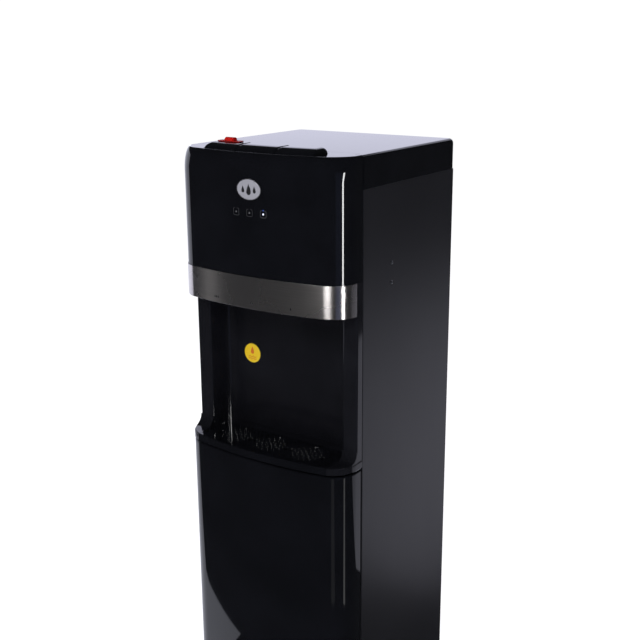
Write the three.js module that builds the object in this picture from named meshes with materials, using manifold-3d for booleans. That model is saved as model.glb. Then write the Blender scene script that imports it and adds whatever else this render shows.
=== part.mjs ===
// A free-standing bottom-loading water dispenser, in millimetres, +Z up, front towards -Y.
// The drinking water bottle stands behind a bulged door. A pump lifts the water to a cold tank and a hot
// tank, and three push buttons on the front edge of the top open the taps above the drip tray.
//
// Every part below is placed with y = 0 at the seam between the steel side panels and the moulded front, and
// z = 0 on the floor. The exported group then shifts everything so that y = 0 is half way through the depth.

import * as THREE from "three";
import { mergeVertices } from "three/addons/utils/BufferGeometryUtils.js";
import Module from "manifold-3d";

const wasm = await Module();
wasm.setup();

// ---------- driving dimensions ----------

const WIDTH = 310;
const DEPTH = 350;
const HEIGHT = 1040; // top of the lid; the buttons and the child lock stand above it
const BULGE = 68; // how far the front stands out from the seam at the centre
const FRONT_RADIUS = 687; // the shallow arc of the front, seen from above
const CORNER_RADIUS = 42; // the two front corners, seen from above
const GAP = 0.3; // clearance between pieces that touch
const SHELL = 2.6; // wall of the moulded covers

const HALF = WIDTH / 2;
const BACK = DEPTH - BULGE;
const SHEET = 1; // steel sheet of the cabinet
const PANEL_X = HALF - 0.6; // outer face of a side panel

const SKIRT_BOTTOM = HEIGHT - 49;
const BAND_TOP = HEIGHT - 183;
const BAND_BOTTOM = HEIGHT - 232.5;
const BAND_END_Y = -17;
const COLLAR_TOP = HEIGHT - 465;
const COLLAR_BOTTOM = HEIGHT - 476.5;
const DOOR_TOP = COLLAR_BOTTOM - 3;
const PLINTH_TOP = 29;
const DOOR_BOTTOM = PLINTH_TOP + 3;
const FOOT_HEIGHT = 12;
const BOTTLE_PAD = { y: 131, r: 125, top: PLINTH_TOP + 1.5 };

const PILLAR_FRONT = -15;
const PILLAR_INNER_X = 128;
const ALCOVE_BACK = 31;
const ALCOVE_HALF = 125;
const CEILING = BAND_BOTTOM + 1;

const TAP_X = [-70, 0, 70];
const TAP_Y = -30;
const TAP_NAMES = ["hot", "normal", "cold"];

const TRAY_HALF = 124.7;
const TRAY_BACK = 11;

const SHELF_Z = 548;
const REAR_PANEL_Y = 262;

const HOT_TANK = { x: -80, y: 140, z: 600, r: 48, h: 130 };
const COLD_TANK = { x: 55, y: 150, z: 790, r: 62, h: 130 };
const COMPRESSOR = { x: 75, y: 140, z: 556, r: 53, h: 142 };
const GLAND = { x: 110, z: 600 };
const DRAIN_Z = 585;
const WALL = 1.5; // of the two tanks
const PORT = 3.6; // bore of the tank ports
const PROBE = { x: 142.5, y: 240, neck: 8.4, ring: 10.5 };
const PIVOT = { x: 146, y: -14, pin: 3 }; // the door's hinge line

// ---------- materials ----------

const finish = (color, roughness, metalness = 0) =>
  new THREE.MeshStandardMaterial({ color, roughness, metalness });

const MATERIAL = {
  glossBlack: finish(0x08080a, 0.12),
  satinSteel: finish(0x34343c, 0.45, 0.3),
  brushedSteel: finish(0xa7a3a0, 0.3, 1),
  zincSteel: finish(0x9aa0a4, 0.4, 0.9),
  stainless: finish(0xc4c6c8, 0.25, 1),
  copper: finish(0xb06a43, 0.35, 1),
  redPlastic: finish(0xc6201c, 0.25),
  greenPlastic: finish(0x1f8a3c, 0.3),
  silverPlate: finish(0xa9abb8, 0.3, 0.8),
  smokedLens: finish(0x16181c, 0.1),
  circuit: finish(0x1d5a33, 0.5),
  foam: finish(0xe6e6e2, 0.9),
  rubber: finish(0x141414, 0.8),
  whitePlastic: finish(0xdfe1e3, 0.4),
  silicone: finish(0xe9eaec, 0.5),
  blackEnamel: finish(0x101114, 0.5),
  blackPlastic: finish(0x0d0d0f, 0.45),
};

// ---------- solids ----------

/** A closed three.js geometry as a manifold solid. */
function solid(geometry) {
  const bare = geometry.clone();
  bare.deleteAttribute("normal");
  bare.deleteAttribute("uv");
  const merged = mergeVertices(bare, 1e-4);
  return new wasm.Manifold(
    new wasm.Mesh({
      numProp: 3,
      vertProperties: new Float32Array(merged.attributes.position.array),
      triVerts: new Uint32Array(merged.index.array),
    }),
  );
}

const asSolid = (piece) => (piece.isBufferGeometry ? solid(piece) : piece);
const join = (...pieces) => pieces.map(asSolid).reduce((a, b) => a.add(b));
const cut = (piece, ...tools) => tools.map(asSolid).reduce((a, b) => a.subtract(b), asSolid(piece));
const common = (a, b) => asSolid(a).intersect(asSolid(b));

/** A manifold solid, or a geometry, as a named mesh. */
function meshOf(name, piece, material) {
  const source = asSolid(piece).getMesh();
  const geometry = new THREE.BufferGeometry();
  geometry.setAttribute("position", new THREE.BufferAttribute(new Float32Array(source.vertProperties), 3));
  geometry.setIndex(new THREE.BufferAttribute(new Uint32Array(source.triVerts), 1));
  geometry.computeVertexNormals();
  const mesh = new THREE.Mesh(geometry, material);
  mesh.name = name;
  return mesh;
}

const box = (x0, x1, y0, y1, z0, z1) =>
  new THREE.BoxGeometry(x1 - x0, y1 - y0, z1 - z0).translate((x0 + x1) / 2, (y0 + y1) / 2, (z0 + z1) / 2);

/** A straight round bar between two points. */
function bar(radius, from, to, sides = 16) {
  const start = new THREE.Vector3(...from);
  const along = new THREE.Vector3(...to).sub(start);
  const up = new THREE.Vector3(0, 1, 0);
  const turn = new THREE.Quaternion().setFromUnitVectors(up, along.clone().normalize());
  const middle = start.clone().addScaledVector(along, 0.5);
  return new THREE.CylinderGeometry(radius, radius, along.length(), sides)
    .applyQuaternion(turn)
    .translate(middle.x, middle.y, middle.z);
}

/** A round body about a vertical line through (x, y), from [radius, height] pairs from axis to axis. */
const turned = (profile, x, y, z, sides = 24) =>
  new THREE.LatheGeometry(
    profile.map(([r, h]) => new THREE.Vector2(r, h)),
    sides,
  )
    .rotateX(Math.PI / 2)
    .translate(x, y, z);

/** A flat outline, in x and y, raised from z0 to z1. */
function raised(shape, z0, z1, curveSegments = 8) {
  const options = { depth: z1 - z0, bevelEnabled: false, curveSegments };
  return new THREE.ExtrudeGeometry(shape, options).translate(0, 0, z0);
}

/** An outline given in y and z, run along x from x0 to x1. */
function runAlongX(points, x0, x1) {
  const shape = new THREE.Shape(points.map(([y, z]) => new THREE.Vector2(y, z)));
  const geometry = new THREE.ExtrudeGeometry(shape, { depth: x1 - x0, bevelEnabled: false });
  const turn = new THREE.Matrix4().makeBasis(
    new THREE.Vector3(0, 1, 0),
    new THREE.Vector3(0, 0, 1),
    new THREE.Vector3(1, 0, 0),
  );
  return geometry.applyMatrix4(turn).translate(x0, 0, 0);
}

/** A round tube of the given radius along a curve. */
function tube(curve, radius, steps, sides = 6) {
  const section = new THREE.Shape();
  section.absarc(0, 0, radius, 0, Math.PI * 2);
  const points = section.getPoints(sides).slice(0, sides);
  const options = { steps, extrudePath: curve, bevelEnabled: false };
  return new THREE.ExtrudeGeometry(new THREE.Shape(points), options);
}

const hose = (points, radius, steps) =>
  tube(new THREE.CatmullRomCurve3(points.map((p) => new THREE.Vector3(...p))), radius, steps);

/** A coil about a vertical line. */
class Helix extends THREE.Curve {
  constructor(centre, radius, rise, turns) {
    super();
    Object.assign(this, { centre, radius, rise, turns });
  }
  getPoint(t, target = new THREE.Vector3()) {
    const angle = t * this.turns * Math.PI * 2;
    return target.set(
      this.centre.x + this.radius * Math.cos(angle),
      this.centre.y + this.radius * Math.sin(angle),
      this.centre.z + this.rise * t,
    );
  }
}

/** A closed skin through a stack of outlines that have the same number of points. */
function loft(levels) {
  const count = levels[0].points.length;
  const position = levels.flatMap(({ z, points }) => points.flatMap((p) => [p.x, p.y, z]));
  const index = [];
  for (let level = 0; level + 1 < levels.length; level++) {
    for (let i = 0; i < count; i++) {
      const a = level * count + i;
      const b = level * count + ((i + 1) % count);
      index.push(a, b, b + count, a, b + count, a + count);
    }
  }
  const top = (levels.length - 1) * count;
  for (const [a, b, c] of THREE.ShapeUtils.triangulateShape(levels[0].points, [])) index.push(c, b, a);
  for (const [a, b, c] of THREE.ShapeUtils.triangulateShape(levels.at(-1).points, []))
    index.push(top + a, top + b, top + c);
  const geometry = new THREE.BufferGeometry();
  geometry.setAttribute("position", new THREE.Float32BufferAttribute(position, 3));
  geometry.setIndex(index);
  return geometry;
}

// ---------- the outline of the bulged front, seen from above ----------

const FRONT_CENTRE_Y = FRONT_RADIUS - BULGE;
const CORNER_X = HALF - CORNER_RADIUS;
const CORNER_Y = FRONT_CENTRE_Y - Math.sqrt((FRONT_RADIUS - CORNER_RADIUS) ** 2 - CORNER_X ** 2);
const JOIN_ANGLE = Math.atan2(CORNER_X, FRONT_CENTRE_Y - CORNER_Y); // from -Y to where corner and front meet

/** Points round the front from the left seam to the right one, each with its outward direction. */
function frontSamples(cornerSteps = 6, frontSteps = 8) {
  const samples = [];
  const arc = (cx, cy, r, from, to, steps, first) => {
    for (let i = first; i <= steps; i++) {
      const a = from + ((to - from) * i) / steps;
      samples.push({ x: cx + r * Math.sin(a), y: cy - r * Math.cos(a), nx: Math.sin(a), ny: -Math.cos(a) });
    }
  };
  arc(-CORNER_X, CORNER_Y, CORNER_RADIUS, -Math.PI / 2, -JOIN_ANGLE, cornerSteps, 0);
  arc(0, FRONT_CENTRE_Y, FRONT_RADIUS, -JOIN_ANGLE, JOIN_ANGLE, frontSteps, 1);
  arc(CORNER_X, CORNER_Y, CORNER_RADIUS, JOIN_ANGLE, Math.PI / 2, cornerSteps, 1);
  return samples;
}

/** The front outline moved inwards by inset (a number, or a function of a sample), closed at back. */
function frontPoints(inset, back) {
  const by = typeof inset === "function" ? inset : () => inset;
  const points = frontSamples().map((s) => new THREE.Vector2(s.x - s.nx * by(s), s.y - s.ny * by(s)));
  return [new THREE.Vector2(points[0].x, back), ...points, new THREE.Vector2(points.at(-1).x, back)];
}

const frontSlab = (inset, back, z0, z1) => raised(new THREE.Shape(frontPoints(inset, back)), z0, z1);
const withinX = (piece, half) => common(piece, box(-half, half, -BULGE - 10, BACK, 0, HEIGHT + 40));

// ---------- cabinet ----------

/** The plinth, with the low round pad that the bottle stands on. */
function plinth() {
  const slab = frontSlab(0.5, BACK, FOOT_HEIGHT, PLINTH_TOP);
  const pad = bar(BOTTLE_PAD.r, [0, BOTTLE_PAD.y, PLINTH_TOP - 1], [0, BOTTLE_PAD.y, BOTTLE_PAD.top], 32);
  return meshOf("base_plinth", join(slab, pad), MATERIAL.blackPlastic);
}

function feet() {
  const places = {
    front_left: [-128, -8],
    front_right: [128, -8],
    rear_left: [-128, 252],
    rear_right: [128, 252],
  };
  const profile = [[0, 0], [13, 0], [15, 2], [13, FOOT_HEIGHT - GAP], [0, FOOT_HEIGHT - GAP]];
  return Object.entries(places).map(([place, [x, y]]) =>
    meshOf(`foot_${place}`, turned(profile, x, y, 0, 16), MATERIAL.rubber),
  );
}

/** A side panel: one sheet with a narrow flange folded in at the front and at the back. */
function sidePanel(name, side) {
  const flange = 12;
  const [outer, inner, tip] = [PANEL_X, PANEL_X - SHEET, PANEL_X - flange];
  const outline = [
    [outer, 0], [outer, BACK], [tip, BACK], [tip, BACK - SHEET],
    [inner, BACK - SHEET], [inner, SHEET], [tip, SHEET], [tip, 0],
  ];
  const shape = new THREE.Shape(outline.map(([x, y]) => new THREE.Vector2(side * x, y)));
  return meshOf(name, raised(shape, PLINTH_TOP + GAP, SKIRT_BOTTOM - GAP), MATERIAL.satinSteel);
}

function rearPanel() {
  const half = PANEL_X - SHEET - GAP;
  const sheet = box(-half, half, REAR_PANEL_Y, REAR_PANEL_Y + SHEET, PLINTH_TOP + GAP, SKIRT_BOTTOM - 4);
  const switchHole = box(-113, -47, REAR_PANEL_Y - 5, REAR_PANEL_Y + 5, 632, 668);
  const through = (x, z, r) => bar(r, [x, REAR_PANEL_Y - 5, z], [x, REAR_PANEL_Y + 5, z]);
  const under = COLD_TANK.z - 20 - GAP;
  const tankBracket = box(0, 110, 165, REAR_PANEL_Y + SHEET / 2, under - 2, under);
  const panel = cut(sheet, switchHole, through(HOT_TANK.x, DRAIN_Z, 8), through(GLAND.x, GLAND.z, 8));
  return meshOf("rear_panel", join(panel, tankBracket), MATERIAL.zincSteel);
}

/** The steel shelf over the bottle bay, with a ring under it that holds the probe when no bottle is in. */
function midShelf() {
  const half = PANEL_X - SHEET - GAP;
  const sheet = box(-half, half, 2, REAR_PANEL_Y - GAP, SHELF_Z, SHELF_Z + 2);
  const { x, y } = PROBE;
  const ring = bar(PROBE.ring, [x, y, SHELF_Z - 12], [x, y, SHELF_Z + 1]);
  const hole = bar(PROBE.neck + 0.6, [x, y, SHELF_Z - 20], [x, y, SHELF_Z + 20]);
  return meshOf("mid_shelf", cut(join(sheet, ring), hole), MATERIAL.zincSteel);
}

/** How far the lid's edge comes in at height z: a quarter ellipse, wide across and tall up. */
const edgeInset = (z, across, up) => {
  const above = Math.min(1, Math.max(0, (z - (HEIGHT - up)) / up));
  return across * (1 - Math.sqrt(1 - above * above));
};

const LID_EDGE = { across: 5, up: 8 };
const TONGUE_HALF = 140; // the front cover reaches back over the lid by a tongue this wide
const TONGUE_BACK = 11.5;

function lidPoints(inset, front, cornerSteps = 4) {
  const radius = 7;
  const [x, y] = [HALF - inset, BACK - inset];
  const points = [new THREE.Vector2(-x, front), new THREE.Vector2(x, front)];
  const corner = (cx, from) => {
    for (let i = 0; i <= cornerSteps; i++) {
      const a = from + (Math.PI / 2) * (i / cornerSteps);
      points.push(new THREE.Vector2(cx + radius * Math.cos(a), y - radius + radius * Math.sin(a)));
    }
  };
  corner(x - radius, 0);
  corner(-x + radius, Math.PI / 2);
  return points;
}

function topLid() {
  const heights = [SKIRT_BOTTOM, HEIGHT - 8, HEIGHT - 5, HEIGHT - 2.5, HEIGHT - 0.8, HEIGHT];
  const skin = (extra, front, drop) =>
    heights.map((z, i) => ({
      z: i ? z - drop : z - extra,
      points: lidPoints(edgeInset(z, LID_EDGE.across, LID_EDGE.up) + extra, front),
    }));
  const hollow = loft(skin(SHELL, -2, SHELL));
  const tongue = box(-TONGUE_HALF - 0.4, TONGUE_HALF + 0.4, -5, TONGUE_BACK + 0.4, HEIGHT - 6, HEIGHT + 5);
  return meshOf("top_lid", cut(loft(skin(0, 0, 0)), hollow, tongue), MATERIAL.glossBlack);
}

// ---------- moulded front ----------

const COVER_INSET = 1; // the cover lies a little behind the steel band
const BUTTON_BLOCK = { half: 101.5, inset: 12.3, back: -10 };
const ICON_X = [-25, 0, 25];
const ICON_Z = HEIGHT - 87;

/** The cover's top edge is rounded most at the front corners and least at the seam. */
function coverEdge(sample) {
  const turn = Math.atan2(Math.abs(sample.nx), -sample.ny) / (Math.PI / 2);
  const atCorner = Math.sin(Math.PI * turn);
  return { across: 8 - 3 * turn + 4.5 * atCorner, up: 18 - 10 * turn + 23 * atCorner };
}

function coverSkin(extra, back, drop) {
  const heights = [0, -38, -28, -19, -12, -6.5, -3, -1, 0].map((h) => HEIGHT + h);
  heights[0] = BAND_TOP + GAP;
  return loft(
    heights.map((z, i) => ({
      z: i ? z - drop : z - extra,
      points: frontPoints((s) => {
        const { across, up } = coverEdge(s);
        return COVER_INSET + extra + edgeInset(z, across, up);
      }, back),
    })),
  );
}

function frontCover() {
  const shell = cut(coverSkin(0, -GAP, 0), coverSkin(SHELL, 4, SHELL));
  const tongue = box(-TONGUE_HALF, TONGUE_HALF, -6, TONGUE_BACK, HEIGHT - SHELL, HEIGHT);
  const pocket = common(
    frontSlab(BUTTON_BLOCK.inset, BUTTON_BLOCK.back, HEIGHT - 30, HEIGHT + 10),
    box(-BUTTON_BLOCK.half, BUTTON_BLOCK.half, -BULGE, 0, HEIGHT - 30, HEIGHT + 10),
  );
  const windows = ICON_X.map((x) => box(x - 5, x + 5, -BULGE, -BULGE + 10, ICON_Z - 6, ICON_Z + 6));
  return meshOf("front_cover", cut(join(shell, tongue), pocket, ...windows), MATERIAL.glossBlack);
}

function steelBand() {
  const ring = cut(frontSlab(0, 0, BAND_BOTTOM, BAND_TOP), frontSlab(1, 5, BAND_BOTTOM - 5, BAND_TOP + 5));
  const ends = box(-HALF - 5, HALF + 5, BAND_END_Y, 10, 0, HEIGHT);
  return meshOf("steel_band", cut(ring, ends), MATERIAL.brushedSteel);
}

function badge() {
  const oval = new THREE.Shape();
  oval.absellipse(0, 0, 22.6, 16, 0, Math.PI * 2);
  const plate = new THREE.ExtrudeGeometry(oval, { depth: 0.7, bevelEnabled: false, curveSegments: 14 });
  plate.rotateX(Math.PI / 2).translate(0, -BULGE + 0.7, HEIGHT - 52.6);
  return meshOf("badge_plate", plate, MATERIAL.silverPlate);
}

function indicatorLens() {
  const strip = box(-33, 33, -63.2, -62, ICON_Z - 8, ICON_Z + 8);
  const windows = ICON_X.map((x) => box(x - 4.7, x + 4.7, -66.4, -63, ICON_Z - 5.7, ICON_Z + 5.7));
  return meshOf("indicator_lens", join(strip, ...windows), MATERIAL.smokedLens);
}

function controlBoard() {
  const board = box(-58, 58, -59.5, -57.9, ICON_Z - 24, ICON_Z + 30);
  const leds = ICON_X.map((x) => box(x - 2.5, x + 2.5, -61.4, -59.4, ICON_Z - 2.5, ICON_Z + 2.5));
  return meshOf("control_board", join(board, ...leds), MATERIAL.circuit);
}

// ---------- alcove: pillars, back wall, ceiling, fascia behind the band, collar round the tray ----------

/** The alcove's wall seen from above, from the right seam to the left one, moved back by t. */
function alcovePath(t, steps = 5) {
  const corner = 15;
  const outer = HALF - 1 - t;
  const right = [[outer, -GAP], [outer, PILLAR_FRONT + t], [PILLAR_INNER_X + t, PILLAR_FRONT + t]];
  for (let i = 0; i <= steps; i++) {
    const a = (Math.PI / 2) * (i / steps);
    right.push([
      ALCOVE_HALF - corner + (corner + t) * Math.cos(a),
      ALCOVE_BACK - corner + (corner + t) * Math.sin(a),
    ]);
  }
  const left = right.map(([x, y]) => [-x, y]).reverse();
  return [...right, ...left];
}

/** The concave flare from a pillar's front down to the collar. */
function flare(x0, x1) {
  const radius = 16;
  const points = [[PILLAR_FRONT + 2, COLLAR_TOP - 2], [PILLAR_FRONT - radius, COLLAR_TOP - 2]];
  for (let i = 0; i <= 5; i++) {
    const a = (Math.PI / 2) * (i / 5);
    points.push([PILLAR_FRONT - radius + radius * Math.sin(a), COLLAR_TOP + radius - radius * Math.cos(a)]);
  }
  points.push([PILLAR_FRONT + 2, COLLAR_TOP + radius]);
  return common(runAlongX(points.reverse(), x0, x1), frontSlab(0.6, 5, COLLAR_BOTTOM, COLLAR_TOP + 40));
}

function alcoveHousing() {
  const outline = [...alcovePath(0), ...alcovePath(SHELL).reverse()].map(([x, y]) => new THREE.Vector2(x, y));
  const wall = raised(new THREE.Shape(outline), COLLAR_TOP - 2, CEILING + 3);
  const ceiling = join(
    frontSlab(1 + GAP, -GAP, CEILING, CEILING + 3),
    box(-ALCOVE_HALF + 4, ALCOVE_HALF - 4, -2, ALCOVE_BACK + 1, CEILING, CEILING + 3),
  );
  const tapHoles = TAP_X.map((x) => bar(8, [x, TAP_Y, CEILING - 5], [x, TAP_Y, CEILING + 8]));
  const fascia = cut(
    frontSlab(1 + GAP, -GAP, CEILING, BAND_TOP - GAP),
    frontSlab(1 + GAP + SHELL, 5, CEILING - 5, BAND_TOP + 5),
  );

  const slab = join(
    frontSlab(0, -GAP, COLLAR_BOTTOM, COLLAR_TOP),
    box(-ALCOVE_HALF - 2, ALCOVE_HALF + 2, -2, ALCOVE_BACK + 2, COLLAR_BOTTOM, COLLAR_TOP),
  );
  const trayHalf = TRAY_HALF + 0.6;
  const trayBay = box(-trayHalf, trayHalf, -BULGE - 5, TRAY_BACK + GAP, COLLAR_BOTTOM + 2.3, COLLAR_TOP + 5);
  const lipNotch = cut(
    box(-trayHalf, trayHalf, -BULGE - 5, -30, COLLAR_BOTTOM - 5, COLLAR_TOP + 5),
    frontSlab(3.4, 5, COLLAR_BOTTOM - 10, COLLAR_TOP + 10),
  );
  const collar = cut(slab, trayBay, lipNotch);
  const flares = [flare(PILLAR_INNER_X, HALF), flare(-HALF, -PILLAR_INNER_X)];
  return meshOf(
    "alcove_housing",
    join(wall, cut(ceiling, ...tapHoles), fascia, collar, ...flares),
    MATERIAL.glossBlack,
  );
}

// ---------- drip tray and grille ----------

const TRAY_FLOOR = COLLAR_BOTTOM + 2.3 + GAP;
const GRILLE_Z = COLLAR_TOP - 2.6;

/** The inside of the tray, seen from above, with round back corners. */
function basinShape(inset, half, back, corner) {
  const front = frontPoints(inset, 0).slice(1, -1).filter((p) => Math.abs(p.x) < half);
  const yAtEnd = FRONT_CENTRE_Y - Math.sqrt((FRONT_RADIUS - inset) ** 2 - half ** 2);
  const shape = new THREE.Shape();
  shape.moveTo(-half, yAtEnd);
  front.forEach((p) => shape.lineTo(p.x, p.y));
  shape.lineTo(half, yAtEnd);
  shape.absarc(half - corner, back - corner, corner, 0, Math.PI / 2);
  shape.absarc(-half + corner, back - corner, corner, Math.PI / 2, Math.PI);
  shape.closePath();
  return shape;
}

function dripTray() {
  const outside = raised(basinShape(2.9, TRAY_HALF, TRAY_BACK, 14), TRAY_FLOOR, COLLAR_TOP, 5);
  const basin = basinShape(5, TRAY_HALF - 1.9, TRAY_BACK - 1.9, 12);
  const inside = raised(basin, TRAY_FLOOR + 1.5, COLLAR_TOP + 5, 5);
  const lip = cut(
    withinX(frontSlab(0, 0, COLLAR_BOTTOM - GAP, COLLAR_TOP + 0.4), TRAY_HALF),
    frontSlab(3, 5, COLLAR_BOTTOM - 5, COLLAR_TOP + 5),
  );
  const posts = [-100, -35, 35, 100].flatMap((x) =>
    [-46, 0].map((y) => box(x - 3, x + 3, y - 2, y + 2, TRAY_FLOOR + 1, GRILLE_Z - GAP)),
  );
  return meshOf("drip_tray", join(cut(outside, inside), lip, ...posts), MATERIAL.glossBlack);
}

/** Rings of drain holes under each tap. */
function rosette(cx, cy) {
  const rings = [[10, 5], [20, 9]];
  return rings.flatMap(([radius, count]) =>
    Array.from({ length: count }, (_, i) => {
      const a = (i / count) * Math.PI * 2;
      const [x, y] = [cx + radius * Math.cos(a), cy + radius * Math.sin(a)];
      return bar(1.8, [x, y, GRILLE_Z - 3], [x, y, GRILLE_Z + 5], 6);
    }),
  );
}

function dripGrille() {
  const plate = raised(basinShape(5.4, TRAY_HALF - 2.3, TRAY_BACK - 2.3, 12), GRILLE_Z, GRILLE_Z + 2, 5);
  const holes = TAP_X.flatMap((x) => rosette(x, -27));
  return meshOf("drip_grille", cut(plate, ...holes), MATERIAL.glossBlack);
}

// ---------- door ----------

function doorPanel() {
  const rear = -4;
  const skin = cut(
    frontSlab(0.5, rear, DOOR_BOTTOM, DOOR_TOP),
    frontSlab(3.5, 5, DOOR_BOTTOM + 3, DOOR_TOP - 3),
  );
  const pin = bar(PIVOT.pin + GAP, [PIVOT.x, PIVOT.y, 0], [PIVOT.x, PIVOT.y, HEIGHT]);
  return meshOf("door_panel", cut(skin, pin), MATERIAL.glossBlack);
}

function doorFrame() {
  const [y0, y1] = [-9, -4 - GAP];
  const half = HALF - 3.5 - GAP;
  const [z0, z1] = [DOOR_BOTTOM + 3 + GAP, DOOR_TOP - 3 - GAP];
  const outer = box(-half, half, y0, y1, z0, z1);
  const opening = box(-128, 128, y0 - 5, y1 + 5, z0 + 22, z1 - 22);
  return meshOf("door_frame", cut(outer, opening), MATERIAL.blackPlastic);
}

/** A hinge bracket: a plate in the gap above or below the door, with the pin that the door turns on. */
function hinge(name, plateZ, pinFrom, pinTo) {
  const plate = box(138, HALF - 2, PIVOT.y - 6, -0.4, plateZ, plateZ + 2);
  const pin = bar(PIVOT.pin, [PIVOT.x, PIVOT.y, pinFrom], [PIVOT.x, PIVOT.y, pinTo]);
  return meshOf(name, join(plate, pin), MATERIAL.zincSteel);
}

const doorMagnet = () => meshOf("door_magnet", box(-151, -143.5, -3.4, -0.4, 495, 540), MATERIAL.rubber);

// ---------- buttons, rods, springs, valves and nozzles ----------

const BUTTON_SPAN = [[-101, -36], [-35, 35], [36, 101]];
const BUTTON_TOP = HEIGHT + 8.5;
const BUTTON_BOTTOM = HEIGHT - 20;
const VALVE = { bottom: 822, top: 858, r: 12 };
const ROD = { r: 3, bottom: 850, collar: 890, top: BUTTON_TOP - 2.5 };

/** A button's outline seen from the side: a steep back, a flat top and a long curved slope to the front. */
function buttonSide(shrink) {
  const slope = 24;
  const [front, back] = [-57 + shrink, BUTTON_BLOCK.back - 0.5 - shrink];
  const [top, low] = [BUTTON_TOP - shrink, BUTTON_BOTTOM - (shrink ? 5 : 0)];
  const points = [[back, low], [back, top - 2], [back - 2, top]];
  for (let i = 0; i <= 6; i++) {
    const a = (Math.PI / 2) * (i / 6);
    points.push([front + slope * (1 - Math.sin(a)), top - 13 + 13 * Math.cos(a)]);
  }
  points.push([front, low]);
  return points;
}

function buttonCap(i) {
  const [x0, x1] = BUTTON_SPAN[i];
  const wall = 2.2;
  const plan = (inset) => frontSlab(BUTTON_BLOCK.inset + 0.5 + inset, 5, BUTTON_BOTTOM - 10, BUTTON_TOP + 5);
  const outside = common(runAlongX(buttonSide(0), x0, x1), plan(0));
  const inside = common(runAlongX(buttonSide(wall), x0 + wall, x1 - wall), plan(wall));
  return meshOf(`${TAP_NAMES[i]}_button`, cut(outside, inside), MATERIAL.glossBlack);
}

function pushRod(i) {
  const x = TAP_X[i];
  const shaft = bar(ROD.r, [x, TAP_Y, ROD.bottom], [x, TAP_Y, ROD.top - GAP], 12);
  const collar = bar(8, [x, TAP_Y, ROD.collar], [x, TAP_Y, ROD.collar + 3], 12);
  return meshOf(`${TAP_NAMES[i]}_push_rod`, join(shaft, collar), MATERIAL.whitePlastic);
}

function returnSpring(i) {
  const wire = 0.8;
  const [z0, z1] = [VALVE.top + GAP + wire, ROD.collar - GAP - wire];
  const coil = new Helix(new THREE.Vector3(TAP_X[i], TAP_Y, z0), 5.8, z1 - z0, 4);
  return meshOf(`${TAP_NAMES[i]}_spring`, tube(coil, wire, 28, 4), MATERIAL.stainless);
}

function valve(i) {
  const x = TAP_X[i];
  const body = bar(VALVE.r, [x, TAP_Y, VALVE.bottom], [x, TAP_Y, VALVE.top]);
  const inlet = bar(4, [x, TAP_Y + 6, 840], [x, 0, 840], 10);
  const bore = bar(3.6, [x, TAP_Y, 843], [x, TAP_Y, VALVE.top + 5], 12);
  return meshOf(`${TAP_NAMES[i]}_valve`, cut(join(body, inlet), bore), MATERIAL.whitePlastic);
}

function nozzle(i) {
  const x = TAP_X[i];
  const outside = turned([[0, 0], [6, 0], [7, 2], [7, 13], [7.6, 24.7], [0, 24.7]], x, TAP_Y, 797, 16);
  const bore = bar(4.5, [x, TAP_Y, 790], [x, TAP_Y, 819], 12);
  return meshOf(`${TAP_NAMES[i]}_nozzle`, cut(outside, bore), MATERIAL.blackPlastic);
}

/** The red child lock: a slide on the hot button that has to be pushed back before the button goes down. */
function childLock() {
  const z = BUTTON_TOP + GAP;
  const [x, y] = [-69, -21];
  const base = box(x - 21, x + 21, y - 7, y + 7, z, z + 1.8);
  const side = [[-6, 1], [6, 1], [5, 5], [1, 6.7], [-3, 5.4]].map(([dy, dz]) => [y + dy, z + dz]);
  const grip = runAlongX(side, x - 8, x + 8);
  return meshOf("child_lock", join(base, grip), MATERIAL.redPlastic);
}

// ---------- water works ----------

/** The hot tank, welded to the round skirt that it stands on. The drain pipe leaves through the skirt. */
function hotTank() {
  const { x, y, z, r, h } = HOT_TANK;
  const profile = [[0, 0], [r - 8, 0], [r, 6], [r, h - 6], [r - 8, h], [7, h], [7, h + 8], [0, h + 8]];
  const inside = [
    [0, WALL], [r - 9, WALL], [r - WALL, 7],
    [r - WALL, h - 7], [r - 9, h - WALL], [0, h - WALL],
  ];
  const outlet = bar(PORT, [x, y, z + h - 10], [x, y, z + h + 20], 12);
  const skirt = cut(
    bar(r, [x, y, SHELF_Z + 2 + GAP], [x, y, z + 7], 24),
    bar(r - 3, [x, y, SHELF_Z], [x, y, z + 8], 24),
  );
  const drainHole = bar(8, [x, y, DRAIN_Z], [x, y + 80, DRAIN_Z]);
  const tank = cut(join(turned(profile, x, y, z), cut(skirt, drainHole)), turned(inside, x, y, z), outlet);
  return meshOf("hot_tank", tank, MATERIAL.stainless);
}

function hotTankJacket() {
  const { x, y, z, r, h } = HOT_TANK;
  const sleeve = cut(
    bar(r + 13, [x, y, z + 38], [x, y, z + h], 24),
    bar(r + 0.5, [x, y, z], [x, y, z + h + 5], 24),
  );
  return meshOf("hot_tank_jacket", sleeve, MATERIAL.foam);
}

function heaterBand() {
  const { x, y, z, r } = HOT_TANK;
  const ring = cut(
    bar(r + 3, [x, y, z + 10], [x, y, z + 34], 24),
    bar(r + 0.5, [x, y, z], [x, y, z + 40], 24),
  );
  const terminals = box(x - 8, x + 8, y - r - 9, y - r - 1, z + 15, z + 29);
  return meshOf("heater_band", join(ring, terminals), MATERIAL.zincSteel);
}

/** The cold tank, filled from below through a port that goes down through its jacket. */
function coldTank() {
  const { x, y, z, r, h } = COLD_TANK;
  const profile = [[0, -19], [6, -19], [6, 0], [r - 10, 0], [r, 8], [r, h], [0, h]];
  const inside = [[0, WALL], [r - 11, WALL], [r - WALL, 9], [r - WALL, h - WALL], [0, h - WALL]];
  const port = bar(PORT, [x, y, z - 30], [x, y, z + 10], 12);
  const tank = cut(turned(profile, x, y, z), turned(inside, x, y, z), port);
  return meshOf("cold_tank", tank, MATERIAL.stainless);
}

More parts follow.
